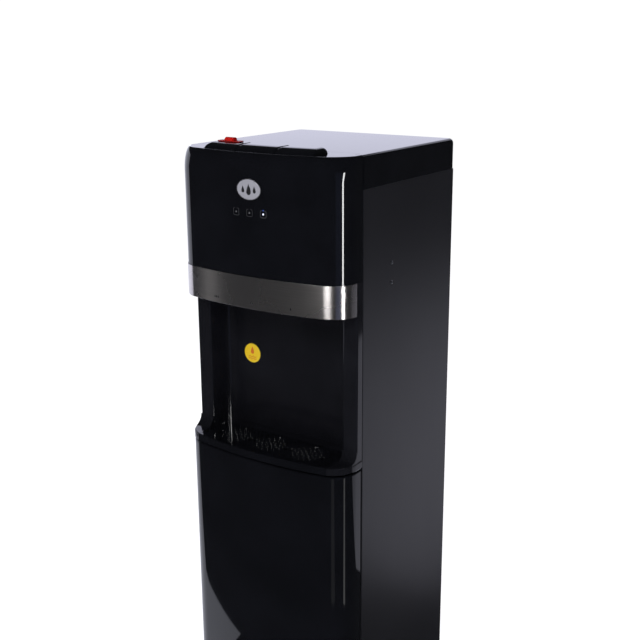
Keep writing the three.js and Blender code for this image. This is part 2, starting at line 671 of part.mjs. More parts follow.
function coldTankJacket() {
  const { x, y, z, r, h } = COLD_TANK;
  const sleeve = cut(
    bar(r + 26, [x, y, z - 20], [x, y, z + h + 20], 24),
    bar(r + 9, [x, y, z - GAP], [x, y, z + h + 30], 24),
    bar(7, [x, y, z - 30], [x, y, z + 10], 12),
  );
  return meshOf("cold_tank_jacket", sleeve, MATERIAL.foam);
}

function evaporatorCoil() {
  const { x, y, z, r, h } = COLD_TANK;
  const pipe = 3;
  const coil = new Helix(new THREE.Vector3(x, y, z + 20), r + 1.6 + pipe, h - 40, 3);
  return meshOf("evaporator_coil", tube(coil, pipe, 42, 5), MATERIAL.copper);
}

function compressor() {
  const { x, y, z, r, h } = COMPRESSOR;
  const dome = [[0, 0], [r - 6, 0], [r - 2, 8], [r - 2, 70], [r, 72], [r, 78], [r - 2, 80], [r - 4, h - 30]];
  const shell = turned([...dome, [r - 22, h - 8], [0, h]], x, y, z);
  const plate = box(x - r, x + r, y - 45, y + 45, SHELF_Z + 2 + GAP, z + 3);
  return meshOf("compressor", join(shell, plate), MATERIAL.blackEnamel);
}

/** The condenser on the back: level runs of tube joined by half-round bends. */
function condenser() {
  const [half, step, runs, radius, y, low] = [110, 48, 6, 2.5, 272, 706];
  const pieces = [];
  for (let i = 0; i < runs; i++) {
    const z = low + i * step;
    pieces.push(bar(radius, [-half, y, z], [half, y, z], 6));
    if (i + 1 === runs) continue;
    const side = i % 2 ? -1 : 1;
    const bend = new THREE.CatmullRomCurve3(
      Array.from({ length: 7 }, (_, k) => {
        const a = (Math.PI * k) / 6 - Math.PI / 2;
        const x = side * (half - 0.5 + (step / 2) * Math.cos(a));
        return new THREE.Vector3(x, y, z + (step / 2) * (1 + Math.sin(a)));
      }),
    );
    pieces.push(tube(bend, radius, 6, 6));
  }
  const top = low + (runs - 1) * step;
  const stays = [-90, 90].map((x) => box(x - 4, x + 4, REAR_PANEL_Y + SHEET + GAP, y, low - 6, top + 6));
  return meshOf("condenser", join(...pieces, ...stays), MATERIAL.blackEnamel);
}

function waterPump() {
  const [y, z] = [236, 574];
  const motor = bar(17, [35, y, z], [80, y, z], 16);
  const head = box(80, 104, y - 18, y + 18, z - 18, z + 18);
  const seat = box(42, 98, y - 14, y + 14, SHELF_Z + 2 + GAP, z - 10);
  const outlet = bar(5, [92, y, z + 10], [92, y, z + 28], 10);
  const inlet = bar(5, [100, y, z], [116, y, z], 10);
  return meshOf("water_pump", join(motor, head, seat, outlet, inlet), MATERIAL.blackPlastic);
}

/** The probe that goes down into the bottle, hanging in its ring under the shelf. */
function bottleProbe() {
  const { x, y, neck, ring } = PROBE;
  const capBottom = SHELF_Z - 12 - GAP - 27;
  const lance = turned([[0, 0], [4, 0], [6, 6], [6, 415], [0, 415]], x, y, 100, 12);
  const cap = turned([[0, 0], [ring, 0], [ring, 23], [neck, 27], [neck, 46], [0, 46]], x, y, capBottom, 16);
  const bore = bar(1.9, [x, y, 480], [x, y, 620], 10);
  return meshOf("bottle_probe", cut(join(lance, cap), bore), MATERIAL.whitePlastic);
}

function hoses() {
  const clear = 0.4;
  const jacketFront = (x) =>
    COLD_TANK.y - Math.sqrt((COLD_TANK.r + 26) ** 2 - Math.max(0, Math.abs(x - COLD_TANK.x) - 5) ** 2);
  const straight = (i) => [[TAP_X[i], clear, 840], [TAP_X[i], jacketFront(TAP_X[i]) - clear, 840]];
  const tankTop = HOT_TANK.z + HOT_TANK.h + 8 + clear;
  const hot = [
    [-70, clear, 840], [-70, 30, 840], [-73, 80, 832],
    [-79, 128, 800], [-80, 140, 765], [-80, 140, tankTop],
  ];
  const fill = [
    [92, 236, 602 + clear], [92, 236, 640], [86, 226, 700],
    [66, 175, 734], [55, 150, 752], [55, 150, 770 - clear],
  ];
  const suction = [
    [PROBE.x, 240, 556], [PROBE.x, 240, 564], [140, 238, 578],
    [132, 236, 582], [124, 236, 574], [116 + clear, 236, 574],
  ];
  return [
    meshOf("cold_hose", bar(5, ...straight(2), 10), MATERIAL.silicone),
    meshOf("normal_hose", bar(5, ...straight(1), 10), MATERIAL.silicone),
    meshOf("hot_hose", hose(hot, 5, 18), MATERIAL.silicone),
    meshOf("fill_hose", hose(fill, 5, 18), MATERIAL.silicone),
    meshOf("suction_hose", hose(suction, 4.4, 12), MATERIAL.silicone),
  ];
}

// ---------- rear fittings ----------

const SWITCH_X = [-95, -65];
const SWITCH_PIVOT = { y: 264, z: 650 };

function switchPlate() {
  const { y, z } = SWITCH_PIVOT;
  const plate = box(-118, -42, REAR_PANEL_Y + SHEET + GAP, y + 1.6, z - 24, z + 24);
  const housing = box(-112, -48, y - 20, y, z - 17, z + 17);
  const pockets = SWITCH_X.map((x) => box(x - 7.8, x + 7.8, y - 14, y + 10, z - 12, z + 12));
  return meshOf("switch_plate", cut(join(plate, housing), ...pockets), MATERIAL.blackPlastic);
}

function rocker(name, x, material) {
  const { y, z } = SWITCH_PIVOT;
  const outline = [[-8, -9], [1.4, -11.3], [2.2, 0], [4.5, 10.5], [-8, 8]];
  const placed = outline.map(([dy, dz]) => [y + dy, z + dz]);
  return meshOf(name, runAlongX(placed, x - 7, x + 7), material);
}

function drainPipe() {
  const { x, y, r } = HOT_TANK;
  const pipe = bar(7, [x, y + r - 1, DRAIN_Z], [x, 272, DRAIN_Z], 14);
  const bore = bar(1.9, [x, y + r + 4, DRAIN_Z], [x, 280, DRAIN_Z], 10);
  return meshOf("drain_pipe", cut(pipe, bore), MATERIAL.whitePlastic);
}

function drainCap() {
  const { x } = HOT_TANK;
  const cap = cut(
    bar(11, [x, 264, DRAIN_Z], [x, 279, DRAIN_Z], 12),
    bar(7.4, [x, 260, DRAIN_Z], [x, 273, DRAIN_Z], 14),
  );
  return meshOf("drain_cap", cap, MATERIAL.blackPlastic);
}

function cordGland() {
  const { x, z } = GLAND;
  const flange = REAR_PANEL_Y + SHEET + GAP;
  const ring = join(bar(7.7, [x, 256, z], [x, flange + 1, z]), bar(11, [x, flange, z], [x, 270, z]));
  return meshOf("cord_gland", cut(ring, bar(4, [x, 250, z], [x, 280, z], 12)), MATERIAL.rubber);
}

// ---------- the whole dispenser ----------

const dispenser = new THREE.Group();
dispenser.position.y = BULGE - DEPTH / 2;

const cabinet = new THREE.Group();
cabinet.add(
  plinth(),
  ...feet(),
  sidePanel("side_panel_left", -1),
  sidePanel("side_panel_right", 1),
  rearPanel(),
  midShelf(),
  topLid(),
  frontCover(),
  steelBand(),
  badge(),
  indicatorLens(),
  controlBoard(),
  alcoveHousing(),
);

const taps = new THREE.Group();
TAP_NAMES.forEach((_, i) => taps.add(buttonCap(i), pushRod(i), returnSpring(i), valve(i), nozzle(i)));
taps.add(childLock());

const door = new THREE.Group();
door.add(
  doorPanel(),
  doorFrame(),
  hinge("door_hinge_upper", DOOR_TOP + 0.5, DOOR_TOP - 8, DOOR_TOP + 1),
  hinge("door_hinge_lower", PLINTH_TOP + GAP, PLINTH_TOP + 1, DOOR_BOTTOM + 8),
  doorMagnet(),
);

const drip = new THREE.Group();
drip.add(dripTray(), dripGrille());

const waterWorks = new THREE.Group();
waterWorks.add(
  hotTank(),
  hotTankJacket(),
  heaterBand(),
  coldTank(),
  coldTankJacket(),
  evaporatorCoil(),
  compressor(),
  condenser(),
  waterPump(),
  bottleProbe(),
  ...hoses(),
);

const rear = new THREE.Group();
rear.add(
  switchPlate(),
  rocker("heating_switch", SWITCH_X[0], MATERIAL.redPlastic),
  rocker("cooling_switch", SWITCH_X[1], MATERIAL.greenPlastic),
  drainPipe(),
  drainCap(),
  cordGland(),
);

dispenser.add(cabinet, taps, door, drip, waterWorks, rear);

export default dispenser;
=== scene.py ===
"""The looks of a free-standing bottom-loading water dispenser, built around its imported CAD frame.

Every sub-assembly is drawn in millimetres on three workshop axes: x from the centre line, y from the seam
between the steel side panels and the moulded front (the front is towards -y), and z from the floor. A Shape
turns those millimetres into the metres of the shared frame.
"""

from __future__ import annotations

import logging
import math
from dataclasses import dataclass, field
from enum import Enum
from typing import Callable, ClassVar, Iterable, Sequence

import bmesh
import bpy
from mathutils import Matrix, Vector

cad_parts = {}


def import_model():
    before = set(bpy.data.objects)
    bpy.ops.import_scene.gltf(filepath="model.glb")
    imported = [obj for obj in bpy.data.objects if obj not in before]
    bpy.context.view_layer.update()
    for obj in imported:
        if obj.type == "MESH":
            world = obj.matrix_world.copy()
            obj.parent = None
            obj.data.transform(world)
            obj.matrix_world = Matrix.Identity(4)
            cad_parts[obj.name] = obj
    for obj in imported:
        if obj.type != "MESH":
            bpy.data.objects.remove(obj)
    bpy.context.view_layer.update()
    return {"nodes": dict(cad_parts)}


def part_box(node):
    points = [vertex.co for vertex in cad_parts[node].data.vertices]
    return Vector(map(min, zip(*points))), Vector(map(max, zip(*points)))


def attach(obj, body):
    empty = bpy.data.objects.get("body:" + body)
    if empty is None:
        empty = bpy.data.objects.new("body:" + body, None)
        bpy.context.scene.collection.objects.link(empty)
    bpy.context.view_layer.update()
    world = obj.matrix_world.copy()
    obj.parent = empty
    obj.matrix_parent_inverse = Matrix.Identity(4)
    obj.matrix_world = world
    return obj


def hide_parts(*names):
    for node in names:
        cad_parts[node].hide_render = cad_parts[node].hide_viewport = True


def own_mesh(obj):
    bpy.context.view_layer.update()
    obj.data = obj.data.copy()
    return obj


log = logging.getLogger("dispenser")

Point = tuple[float, float, float]
Flat = tuple[float, float]
Colour = tuple[float, float, float]
Span = tuple[float, float]

MM = 0.001
QUARTER = math.pi / 2
SHARP_OVER = 40.0  # degrees; gentler edges are shaded smooth


# ---------------------------------------------------------------- finishes


class Wiring:
    """A material's node tree with its shader, and short ways to add to it."""

    def __init__(self, name: str) -> None:
        """Starts an empty material with a principled shader.

        Args:
            name: the material's name.
        """
        self.material = bpy.data.materials.new(name)
        self.material.use_nodes = True
        self.tree = self.material.node_tree
        self.tree.nodes.clear()
        self.shader = self.add("ShaderNodeBsdfPrincipled")
        output = self.add("ShaderNodeOutputMaterial")
        self.link(self.shader.outputs["BSDF"], output.inputs["Surface"])

    def add(self, kind: str, **settings: object) -> bpy.types.Node:
        """Adds a node and sets its properties."""
        node = self.tree.nodes.new(kind)
        for key, value in settings.items():
            setattr(node, key, value)
        return node

    def link(self, source: bpy.types.NodeSocket, target: bpy.types.NodeSocket) -> None:
        """Joins two sockets."""
        self.tree.links.new(source, target)

    def place(self, scale: Point = (1, 1, 1)) -> bpy.types.NodeSocket:
        """The piece's own coordinates in metres, stretched by scale."""
        mapping = self.add("ShaderNodeMapping")
        mapping.inputs["Scale"].default_value = scale
        self.link(self.add("ShaderNodeTexCoord").outputs["Object"], mapping.inputs["Vector"])
        return mapping.outputs["Vector"]

    def noise(self, vector: bpy.types.NodeSocket, scale: float, detail: float = 3.0) -> bpy.types.NodeSocket:
        """Cloudy noise.

        Args:
            vector: the coordinates to read.
            scale: features per metre.
            detail: octaves.

        Returns:
            The noise value, about 0.5 on average.
        """
        node = self.add("ShaderNodeTexNoise")
        node.inputs["Scale"].default_value = scale
        node.inputs["Detail"].default_value = detail
        self.link(vector, node.inputs["Vector"])
        return node.outputs["Fac"]

    def spread(self, value: bpy.types.NodeSocket, low: Span, high: Span) -> bpy.types.NodeSocket:
        """Maps a value from the range low to the range high, clamped."""
        node = self.add("ShaderNodeMapRange")
        for socket, number in zip(("From Min", "From Max", "To Min", "To Max"), (*low, *high)):
            node.inputs[socket].default_value = number
        self.link(value, node.inputs["Value"])
        return node.outputs["Result"]

    def blend(self, factor: bpy.types.NodeSocket, first: Colour, second: Colour) -> bpy.types.NodeSocket:
        """A colour between two, by factor."""
        node = self.add("ShaderNodeMix", data_type="RGBA")
        self.link(factor, node.inputs["Factor"])
        node.inputs["A"].default_value = (*first, 1)
        node.inputs["B"].default_value = (*second, 1)
        return next(s for s in node.outputs if s.type == "RGBA")

    def bump(self, layers: Sequence[tuple[bpy.types.NodeSocket, float]]) -> None:
        """Raises the surface by several heights.

        Args:
            layers: pairs of a height value and the height in metres that one unit of it stands for.
        """
        normal = None
        for height, distance in layers:
            node = self.add("ShaderNodeBump")
            node.inputs["Strength"].default_value = 1
            node.inputs["Distance"].default_value = distance
            self.link(height, node.inputs["Height"])
            if normal is not None:
                self.link(normal, node.inputs["Normal"])
            normal = node.outputs["Normal"]
        self.link(normal, self.shader.inputs["Normal"])

    def set(self, **values: object) -> None:
        """Sets the shader's own sockets; an underscore in a name stands for a space."""
        for key, value in values.items():
            socket = self.shader.inputs[key.replace("_", " ")]
            socket.default_value = (*value, 1) if socket.type == "RGBA" else value


@dataclass(frozen=True)
class Moulded:
    """Injection-moulded plastic: flow marks in the gloss, faint scuffs and a fine surface grain."""

    name: str
    slot: str
    colour: Colour
    rough: float
    grain: float = 1800.0
    grain_height: float = 1.5e-6
    ripple_height: float = 4.0e-6
    scuff: float = 0.05
    variation: float = 0.18
    coat: float = 0.0
    glow_through: float = 0.0

    def wire(self) -> bpy.types.Material:
        """Builds the node tree.

        Returns:
            The material.
        """
        w = Wiring(self.name)
        at = w.place()
        cloud = w.noise(at, 14, 4)
        darker = tuple(c * (1 - self.variation) for c in self.colour)
        lighter = tuple(c * (1 + self.variation) for c in self.colour)
        mixed = w.blend(w.spread(cloud, (0.35, 0.65), (0, 1)), darker, lighter)
        w.link(mixed, w.shader.inputs["Base Color"])
        smear = w.noise(w.place((1, 1, 0.35)), 60, 6)
        w.link(
            w.spread(smear, (0.35, 0.8), (self.rough, self.rough + self.scuff)), w.shader.inputs["Roughness"]
        )
        w.bump([(w.noise(at, 26, 1), self.ripple_height), (w.noise(at, self.grain, 2), self.grain_height)])
        w.set(IOR=1.5, Coat_Weight=self.coat, Coat_Roughness=0.03)
        if self.glow_through:
            w.set(Subsurface_Weight=self.glow_through, Subsurface_Scale=1.0)
            w.set(Subsurface_Radius=(0.004, 0.0012, 0.0008))
        return w.material


@dataclass(frozen=True)
class PowderCoat:
    """Satin powder coat on steel sheet: an even orange-peel texture and a slightly uneven sheen."""

    name: str
    slot: str
    colour: Colour
    rough: float
    peel: float = 1400.0
    peel_height: float = 8e-6

    def wire(self) -> bpy.types.Material:
        """Builds the node tree.

        Returns:
            The material.
        """
        w = Wiring(self.name)
        at = w.place()
        cloud = w.noise(at, 5, 5)
        darker = tuple(c * 0.88 for c in self.colour)
        lighter = tuple(c * 1.12 for c in self.colour)
        w.link(w.blend(w.spread(cloud, (0.3, 0.7), (0, 1)), darker, lighter), w.shader.inputs["Base Color"])
        sheen = w.noise(w.place((1, 1, 0.2)), 9, 4)
        w.link(
            w.spread(sheen, (0.3, 0.7), (self.rough - 0.02, self.rough + 0.03)), w.shader.inputs["Roughness"]
        )
        w.bump([(w.noise(at, self.peel, 2), self.peel_height), (w.noise(at, 3, 1), 2e-4)])
        w.set(IOR=1.5)
        return w.material


class Lay(Enum):
    """The way the brushing lines of a metal run."""

    ROUND = (14.0, 14.0, 5200.0)
    NONE = (260.0, 260.0, 260.0)


@dataclass(frozen=True)
class Metal:
    """Bare metal, brushed or plain drawn."""

    name: str
    slot: str
    colour: Colour
    rough: float
    lay: Lay = Lay.NONE
    line_height: float = 2.5e-6
    streak: float = 0.12
    stretch: float = 0.0

    def wire(self) -> bpy.types.Material:
        """Builds the node tree.

        Returns:
            The material.
        """
        w = Wiring(self.name)
        lines = w.noise(w.place(self.lay.value), 1, 4)
        cloud = w.noise(w.place(), 8, 3)
        darker = tuple(c * (1 - self.streak) for c in self.colour)
        lighter = tuple(min(1.0, c * (1 + self.streak)) for c in self.colour)
        w.link(w.blend(w.spread(lines, (0.3, 0.7), (0, 1)), darker, lighter), w.shader.inputs["Base Color"])
        uneven = w.spread(cloud, (0.3, 0.7), (self.rough * 0.85, self.rough * 1.15))
        w.link(uneven, w.shader.inputs["Roughness"])
        w.bump([(lines, self.line_height)])
        w.set(Metallic=1.0, Anisotropic=self.stretch, Anisotropic_Rotation=0.25)
        if self.stretch:
            tangent = w.add("ShaderNodeTangent", direction_type="RADIAL", axis="Z")
            w.link(tangent.outputs["Tangent"], w.shader.inputs["Tangent"])
        return w.material


@dataclass(frozen=True)
class Spangle:
    """Galvanised sheet steel with its crystal pattern."""

    name: str
    slot: str
    colour: Colour
    rough: float
    crystal: float = 90.0

    def wire(self) -> bpy.types.Material:
        """Builds the node tree.

        Returns:
            The material.
        """
        w = Wiring(self.name)
        cells = w.add("ShaderNodeTexVoronoi")
        cells.inputs["Scale"].default_value = self.crystal
        w.link(w.place(), cells.inputs["Vector"])
        shade = w.add("ShaderNodeSeparateColor")
        w.link(cells.outputs["Color"], shade.inputs["Color"])
        darker = tuple(c * 0.8 for c in self.colour)
        w.link(w.blend(shade.outputs["Red"], darker, self.colour), w.shader.inputs["Base Color"])
        dull = w.spread(shade.outputs["Green"], (0, 1), (self.rough, self.rough + 0.16))
        w.link(dull, w.shader.inputs["Roughness"])
        w.bump([(w.noise(w.place(), 500, 3), 3e-6)])
        w.set(Metallic=1.0)
        return w.material


@dataclass(frozen=True)
class Foam:
    """Expanded foam: small open cells."""

    name: str
    slot: str
    colour: Colour
    cell: float = 420.0

    def wire(self) -> bpy.types.Material:
        """Builds the node tree.

        Returns:
            The material.
        """
        w = Wiring(self.name)
        cells = w.add("ShaderNodeTexVoronoi")
        cells.inputs["Scale"].default_value = self.cell
        w.link(w.place(), cells.inputs["Vector"])
        shaded = w.spread(cells.outputs["Distance"], (0.1, 0.7), (1, 0))
        darker = tuple(c * 0.72 for c in self.colour)
        w.link(w.blend(shaded, darker, self.colour), w.shader.inputs["Base Color"])
        w.bump([(cells.outputs["Distance"], 3e-4)])
        w.set(Roughness=0.9)
        return w.material


@dataclass(frozen=True)
class Circuit:
    """A green circuit board with copper tracks under its lacquer."""

    name: str
    slot: str
    colour: Colour
    track: Colour = (0.05, 0.3, 0.09)

    def wire(self) -> bpy.types.Material:
        """Builds the node tree.

        Returns:
            The material.
        """
        w = Wiring(self.name)
        tracks = w.add("ShaderNodeTexBrick")
        tracks.inputs["Scale"].default_value = 160
        tracks.inputs["Mortar Size"].default_value = 0.05
        tracks.inputs["Color1"].default_value = (*self.colour, 1)
        tracks.inputs["Color2"].default_value = (*(c * 0.8 for c in self.colour), 1)
        tracks.inputs["Mortar"].default_value = (*self.track, 1)
        swap = w.add("ShaderNodeMapping")
        swap.inputs["Rotation"].default_value = (QUARTER, 0, 0)
        w.link(w.place(), swap.inputs["Vector"])
        w.link(swap.outputs["Vector"], tracks.inputs["Vector"])
        w.link(tracks.outputs["Color"], w.shader.inputs["Base Color"])
        w.bump([(tracks.outputs["Fac"], 2e-5)])
        w.set(Roughness=0.35)
        return w.material


@dataclass(frozen=True)
class Lamp:
    """A small lamp or lit mark behind a lens."""

    name: str
    slot: str
    colour: Colour
    glow: float

    def wire(self) -> bpy.types.Material:
        """Builds the node tree.

        Returns:
            The material.
        """
        w = Wiring(self.name)
        hot = w.noise(w.place(), 900, 1)
        w.link(w.blend(hot, tuple(c * 0.8 for c in self.colour), self.colour), w.shader.inputs["Base Color"])
        w.set(Roughness=0.3, Emission_Color=self.colour, Emission_Strength=self.glow)
        return w.material


Finish = Moulded | PowderCoat | Metal | Spangle | Foam | Circuit | Lamp


class Finishes:
    """Every finish on the dispenser. A material is wired once, when it is first asked for."""

    gloss_black = Moulded(
        "gloss_black", "gloss_black", (0.0042, 0.0045, 0.0064), 0.035, ripple_height=2.0e-6, scuff=0.02
    )
    alcove_black = Moulded("alcove_black", "gloss_black", (0.0082, 0.0084, 0.0112), 0.06, scuff=0.05)
    side_coat = PowderCoat("side_coat", "satin_steel", (0.012, 0.012, 0.016), 0.34)
    band_steel = Metal("band_steel", "brushed_steel", (0.60, 0.57, 0.56), 0.27, Lay.ROUND, stretch=0.9)
    galvanised = Spangle("galvanised", "zinc_steel", (0.48, 0.5, 0.52), 0.3)
    screw_zinc = Metal("screw_zinc", "zinc_steel", (0.55, 0.56, 0.58), 0.3)
    stainless = Metal("stainless", "stainless", (0.6, 0.61, 0.62), 0.26, Lay.ROUND)
    copper = Metal("copper", "copper", (0.72, 0.32, 0.18), 0.3)
    lock_red = Moulded("lock_red", "red_plastic", (0.80, 0.020, 0.014), 0.25, glow_through=0.5)
    lock_dark = Moulded("lock_dark", "red_plastic", (0.46, 0.016, 0.016), 0.35, glow_through=0.3)
    switch_red = Moulded("switch_red", "red_plastic", (0.5, 0.015, 0.012), 0.2, glow_through=0.3)
    switch_green = Moulded("switch_green", "green_plastic", (0.02, 0.28, 0.06), 0.2, glow_through=0.3)
    badge_silver = Moulded("badge_silver", "silver_plate", (0.36, 0.36, 0.41), 0.3, variation=0.04)
    mark_dark = Moulded("mark_dark", "smoked_lens", (0.02, 0.02, 0.023), 0.4)
    icon_grey = Moulded("icon_grey", "smoked_lens", (0.07, 0.07, 0.078), 0.4)
    circuit = Circuit("circuit", "circuit", (0.02, 0.12, 0.045))
    foam = Foam("foam", "foam", (0.8, 0.8, 0.76))
    rubber = Moulded(
        "rubber", "rubber", (0.012, 0.012, 0.012), 0.62, grain=2600, grain_height=9e-6, scuff=0.15
    )
    natural = Moulded("natural", "white_plastic", (0.72, 0.73, 0.72), 0.34, glow_through=0.15)
    silicone = Moulded("silicone", "silicone", (0.78, 0.79, 0.8), 0.38, glow_through=0.4)
    enamel = PowderCoat("enamel", "black_enamel", (0.01, 0.01, 0.012), 0.3, peel=900)
    textured = Moulded(
        "textured", "black_plastic", (0.012, 0.012, 0.014), 0.42, grain=1500, grain_height=1.6e-5, scuff=0.1
    )
    sticker_yellow = Moulded("sticker_yellow", "smoked_lens", (0.92, 0.62, 0.01), 0.38, variation=0.04)
    sticker_orange = Moulded("sticker_orange", "smoked_lens", (0.72, 0.16, 0.01), 0.38, variation=0.06)
    lamp_white = Lamp("lamp_white", "smoked_lens", (0.75, 0.82, 1.0), 1.0)
    lamp_blue = Lamp("lamp_blue", "smoked_lens", (0.05, 0.12, 0.6), 0.5)
    lamp_dim = Lamp("lamp_dim", "smoked_lens", (0.12, 0.12, 0.13), 0.02)

    _wired: ClassVar[dict[str, bpy.types.Material]] = {}

    @classmethod
    def material(cls, finish: Finish) -> bpy.types.Material:
        """The material of a finish."""
        if finish.name not in cls._wired:
            cls._wired[finish.name] = finish.wire()
        return cls._wired[finish.name]


# ---------------------------------------------------------------- shapes


def circle(radius: float, steps: int, other: float | None = None) -> list[Flat]:
    """Points round the origin, anticlockwise from +x.

    Args:
        radius: the radius, or half the width of an ellipse.
        steps: how many points.
        other: half the height of an ellipse; None makes a circle.

    Returns:
        The points.
    """
    rise = radius if other is None else other
    angles = (math.tau * i / steps for i in range(steps))
    return [(radius * math.cos(a), rise * math.sin(a)) for a in angles]


class Join(Enum):
    """How a second shape is worked into a first."""

    CUT = "DIFFERENCE"
    ADD = "UNION"
    COMMON = "INTERSECT"


class Shape:
    """Closed forms gathered in one mesh, drawn in millimetres on the workshop axes."""

    seam: ClassVar[float] = 0.0  # where the seam lies in the shared frame, in metres

    def __init__(self) -> None:
        """Starts empty."""
        self.bm = bmesh.new()

    def skin(self, rings: Sequence[Sequence[Point]], ends: bool = True) -> "Shape":
        """Adds a skin through rings with equal numbers of points.

        Args:
            rings: the rings in order.
            ends: close the two ends with flat faces; otherwise the last ring joins the first.

        Returns:
            The shape itself.
        """
        rows = [[self.bm.verts.new(p) for p in ring] for ring in rings]
        pairs = list(zip(rows, rows[1:]))
        if ends:
            self.bm.faces.new(list(reversed(rows[0])))
            self.bm.faces.new(rows[-1])
        else:
            pairs.append((rows[-1], rows[0]))
        count = len(rows[0])
        for low, high in pairs:
            for i in range(count):
                j = (i + 1) % count
                self.bm.faces.new((low[i], low[j], high[j], high[i]))
        return self

    def prism(self, outline: Sequence[Flat], z0: float, z1: float) -> "Shape":
        """Adds an outline in x and y raised from z0 to z1."""
        return self.skin([[(x, y, z) for x, y in outline] for z in (z0, z1)])

    def slab(self, x: Span, y: Span, z: Span) -> "Shape":
        """Adds a block."""
        return self.prism([(x[0], y[0]), (x[1], y[0]), (x[1], y[1]), (x[0], y[1])], *z)

    def along_x(self, outline: Sequence[Flat], x0: float, x1: float) -> "Shape":
        """Adds an outline in y and z run from x0 to x1."""
        return self.skin([[(x, y, z) for y, z in outline] for x in (x0, x1)])

    def turned(
        self, profile: Sequence[Flat], foot: Point, along: Vector = Vector((0, 0, 1)), steps: int = 32
    ) -> "Shape":
        """Adds a round body.

        Args:
            profile: pairs of radius and height, in order, neither end on the axis.
            foot: where the axis starts.
            along: the axis's direction.
            steps: points round the body.

        Returns:
            The shape itself.
        """
        turn = Vector((0, 0, 1)).rotation_difference(along).to_matrix()
        base = Vector(foot)
        rings = []
        for radius, height in profile:
            rings.append([tuple(base + turn @ Vector((u, v, height))) for u, v in circle(radius, steps)])
        return self.skin(rings)

    def tube(self, path: Sequence[Vector], radius: float, sides: int = 12, loop: bool = False) -> "Shape":
        """Adds a round tube.

        Args:
            path: the centre line.
            radius: the tube's radius.
            sides: points round the tube.
            loop: the path closes on itself.

        Returns:
            The shape itself.
        """
        count = len(path)
        side = None
        rings = []
        for i, here in enumerate(path):
            before = path[i - 1] if loop or i else here
            after = path[(i + 1) % count] if loop or i + 1 < count else here
            ahead = (after - before).normalized()
            if side is None:
                side = ahead.orthogonal().normalized()
            side = (side - ahead * side.dot(ahead)).normalized()
            across = ahead.cross(side)
            rings.append([tuple(here + u * side + v * across) for u, v in circle(radius, sides)])
        return self.skin(rings, ends=not loop)

    def make(self, name: str, loose: bool = False) -> bpy.types.Object:
        """Turns the millimetres into an object in metres.

        Args:
            name: the object's name.
            loose: keep it about the origin, for geometry nodes to place, and not at the seam.

        Returns:
            The object.
        """
        shift = Matrix.Translation((0, 0.0 if loose else self.seam, 0))
        bmesh.ops.transform(self.bm, matrix=shift @ Matrix.Scale(MM, 4), verts=self.bm.verts)
        bmesh.ops.recalc_face_normals(self.bm, faces=self.bm.faces)
        mesh = bpy.data.meshes.new(name)
        self.bm.to_mesh(mesh)
        self.bm.free()
        made = bpy.data.objects.new(name, mesh)
        bpy.context.scene.collection.objects.link(made)
        return made


def bake(piece: bpy.types.Object) -> bpy.types.Object:
    """Turns a piece's live modifiers into its mesh.

    Args:
        piece: the piece.

    Returns:
        The piece itself.
    """
    graph = bpy.context.evaluated_depsgraph_get()
    mesh = bpy.data.meshes.new_from_object(piece.evaluated_get(graph))
    piece.modifiers.clear()
    old, piece.data = piece.data, mesh
    bpy.data.meshes.remove(old)
    return piece


def work(body: bpy.types.Object, tool: bpy.types.Object, how: Join) -> bpy.types.Object:
    """Cuts, adds or intersects a tool, which is used up.

    Args:
        body: the piece that is worked on.
        tool: what it is cut, joined or met with.
        how: which of the three.

    Returns:
        The body itself.
    """
    modifier = body.modifiers.new(how.name.lower(), "BOOLEAN")
    modifier.operation = how.value
    modifier.solver = "MANIFOLD"
    modifier.object = tool
    bake(body)
    mesh = tool.data
    bpy.data.objects.remove(tool)
    bpy.data.meshes.remove(mesh)
    return body


@dataclass(frozen=True)
class Edge:
    """How a piece's edges are broken: the width in millimetres, over which angle, and in how many steps."""

    width: float = 0.4
    over: float = 35.0  # degrees
    steps: int = 2


def dress(
    piece: bpy.types.Object, finish: Finish, body: str, *nodes: str, edge: Edge | None = Edge()
) -> bpy.types.Object:
    """Finishes a piece and hangs it on the frame.

    Args:
        piece: the piece, in place.
        finish: what it is made of.
        body: the CAD body that it moves with.
        nodes: the CAD nodes that it stands for.
        edge: how its edges are broken, or None to leave them sharp.

    Returns:
        The piece.
    """
    piece.data.materials.clear()
    piece.data.materials.append(Finishes.material(finish))
    if edge:
        bevel = piece.modifiers.new("edges", "BEVEL")
        bevel.width = edge.width * MM
        bevel.segments = edge.steps
        bevel.limit_method = "ANGLE"
        bevel.angle_limit = math.radians(edge.over)
        bevel.miter_outer = "MITER_ARC"
        bake(piece)
    for polygon in piece.data.polygons:
        polygon.use_smooth = True
    piece.data.set_sharp_from_angle(angle=math.radians(SHARP_OVER))
    weighted = piece.modifiers.new("normals", "WEIGHTED_NORMAL")
    weighted.keep_sharp = True
    bake(piece)
    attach(piece, body)
    if nodes:
        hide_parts(*nodes)
    log.info("%s rides on %s", piece.name, body)
    return piece


def arc(centre: Flat, radius: float, start: float, end: float, steps: int) -> list[Flat]:
    """Points on an arc, both ends included; angles are in radians from +x."""
    angles = (start + (end - start) * i / steps for i in range(steps + 1))
    return [(centre[0] + radius * math.cos(a), centre[1] + radius * math.sin(a)) for a in angles]


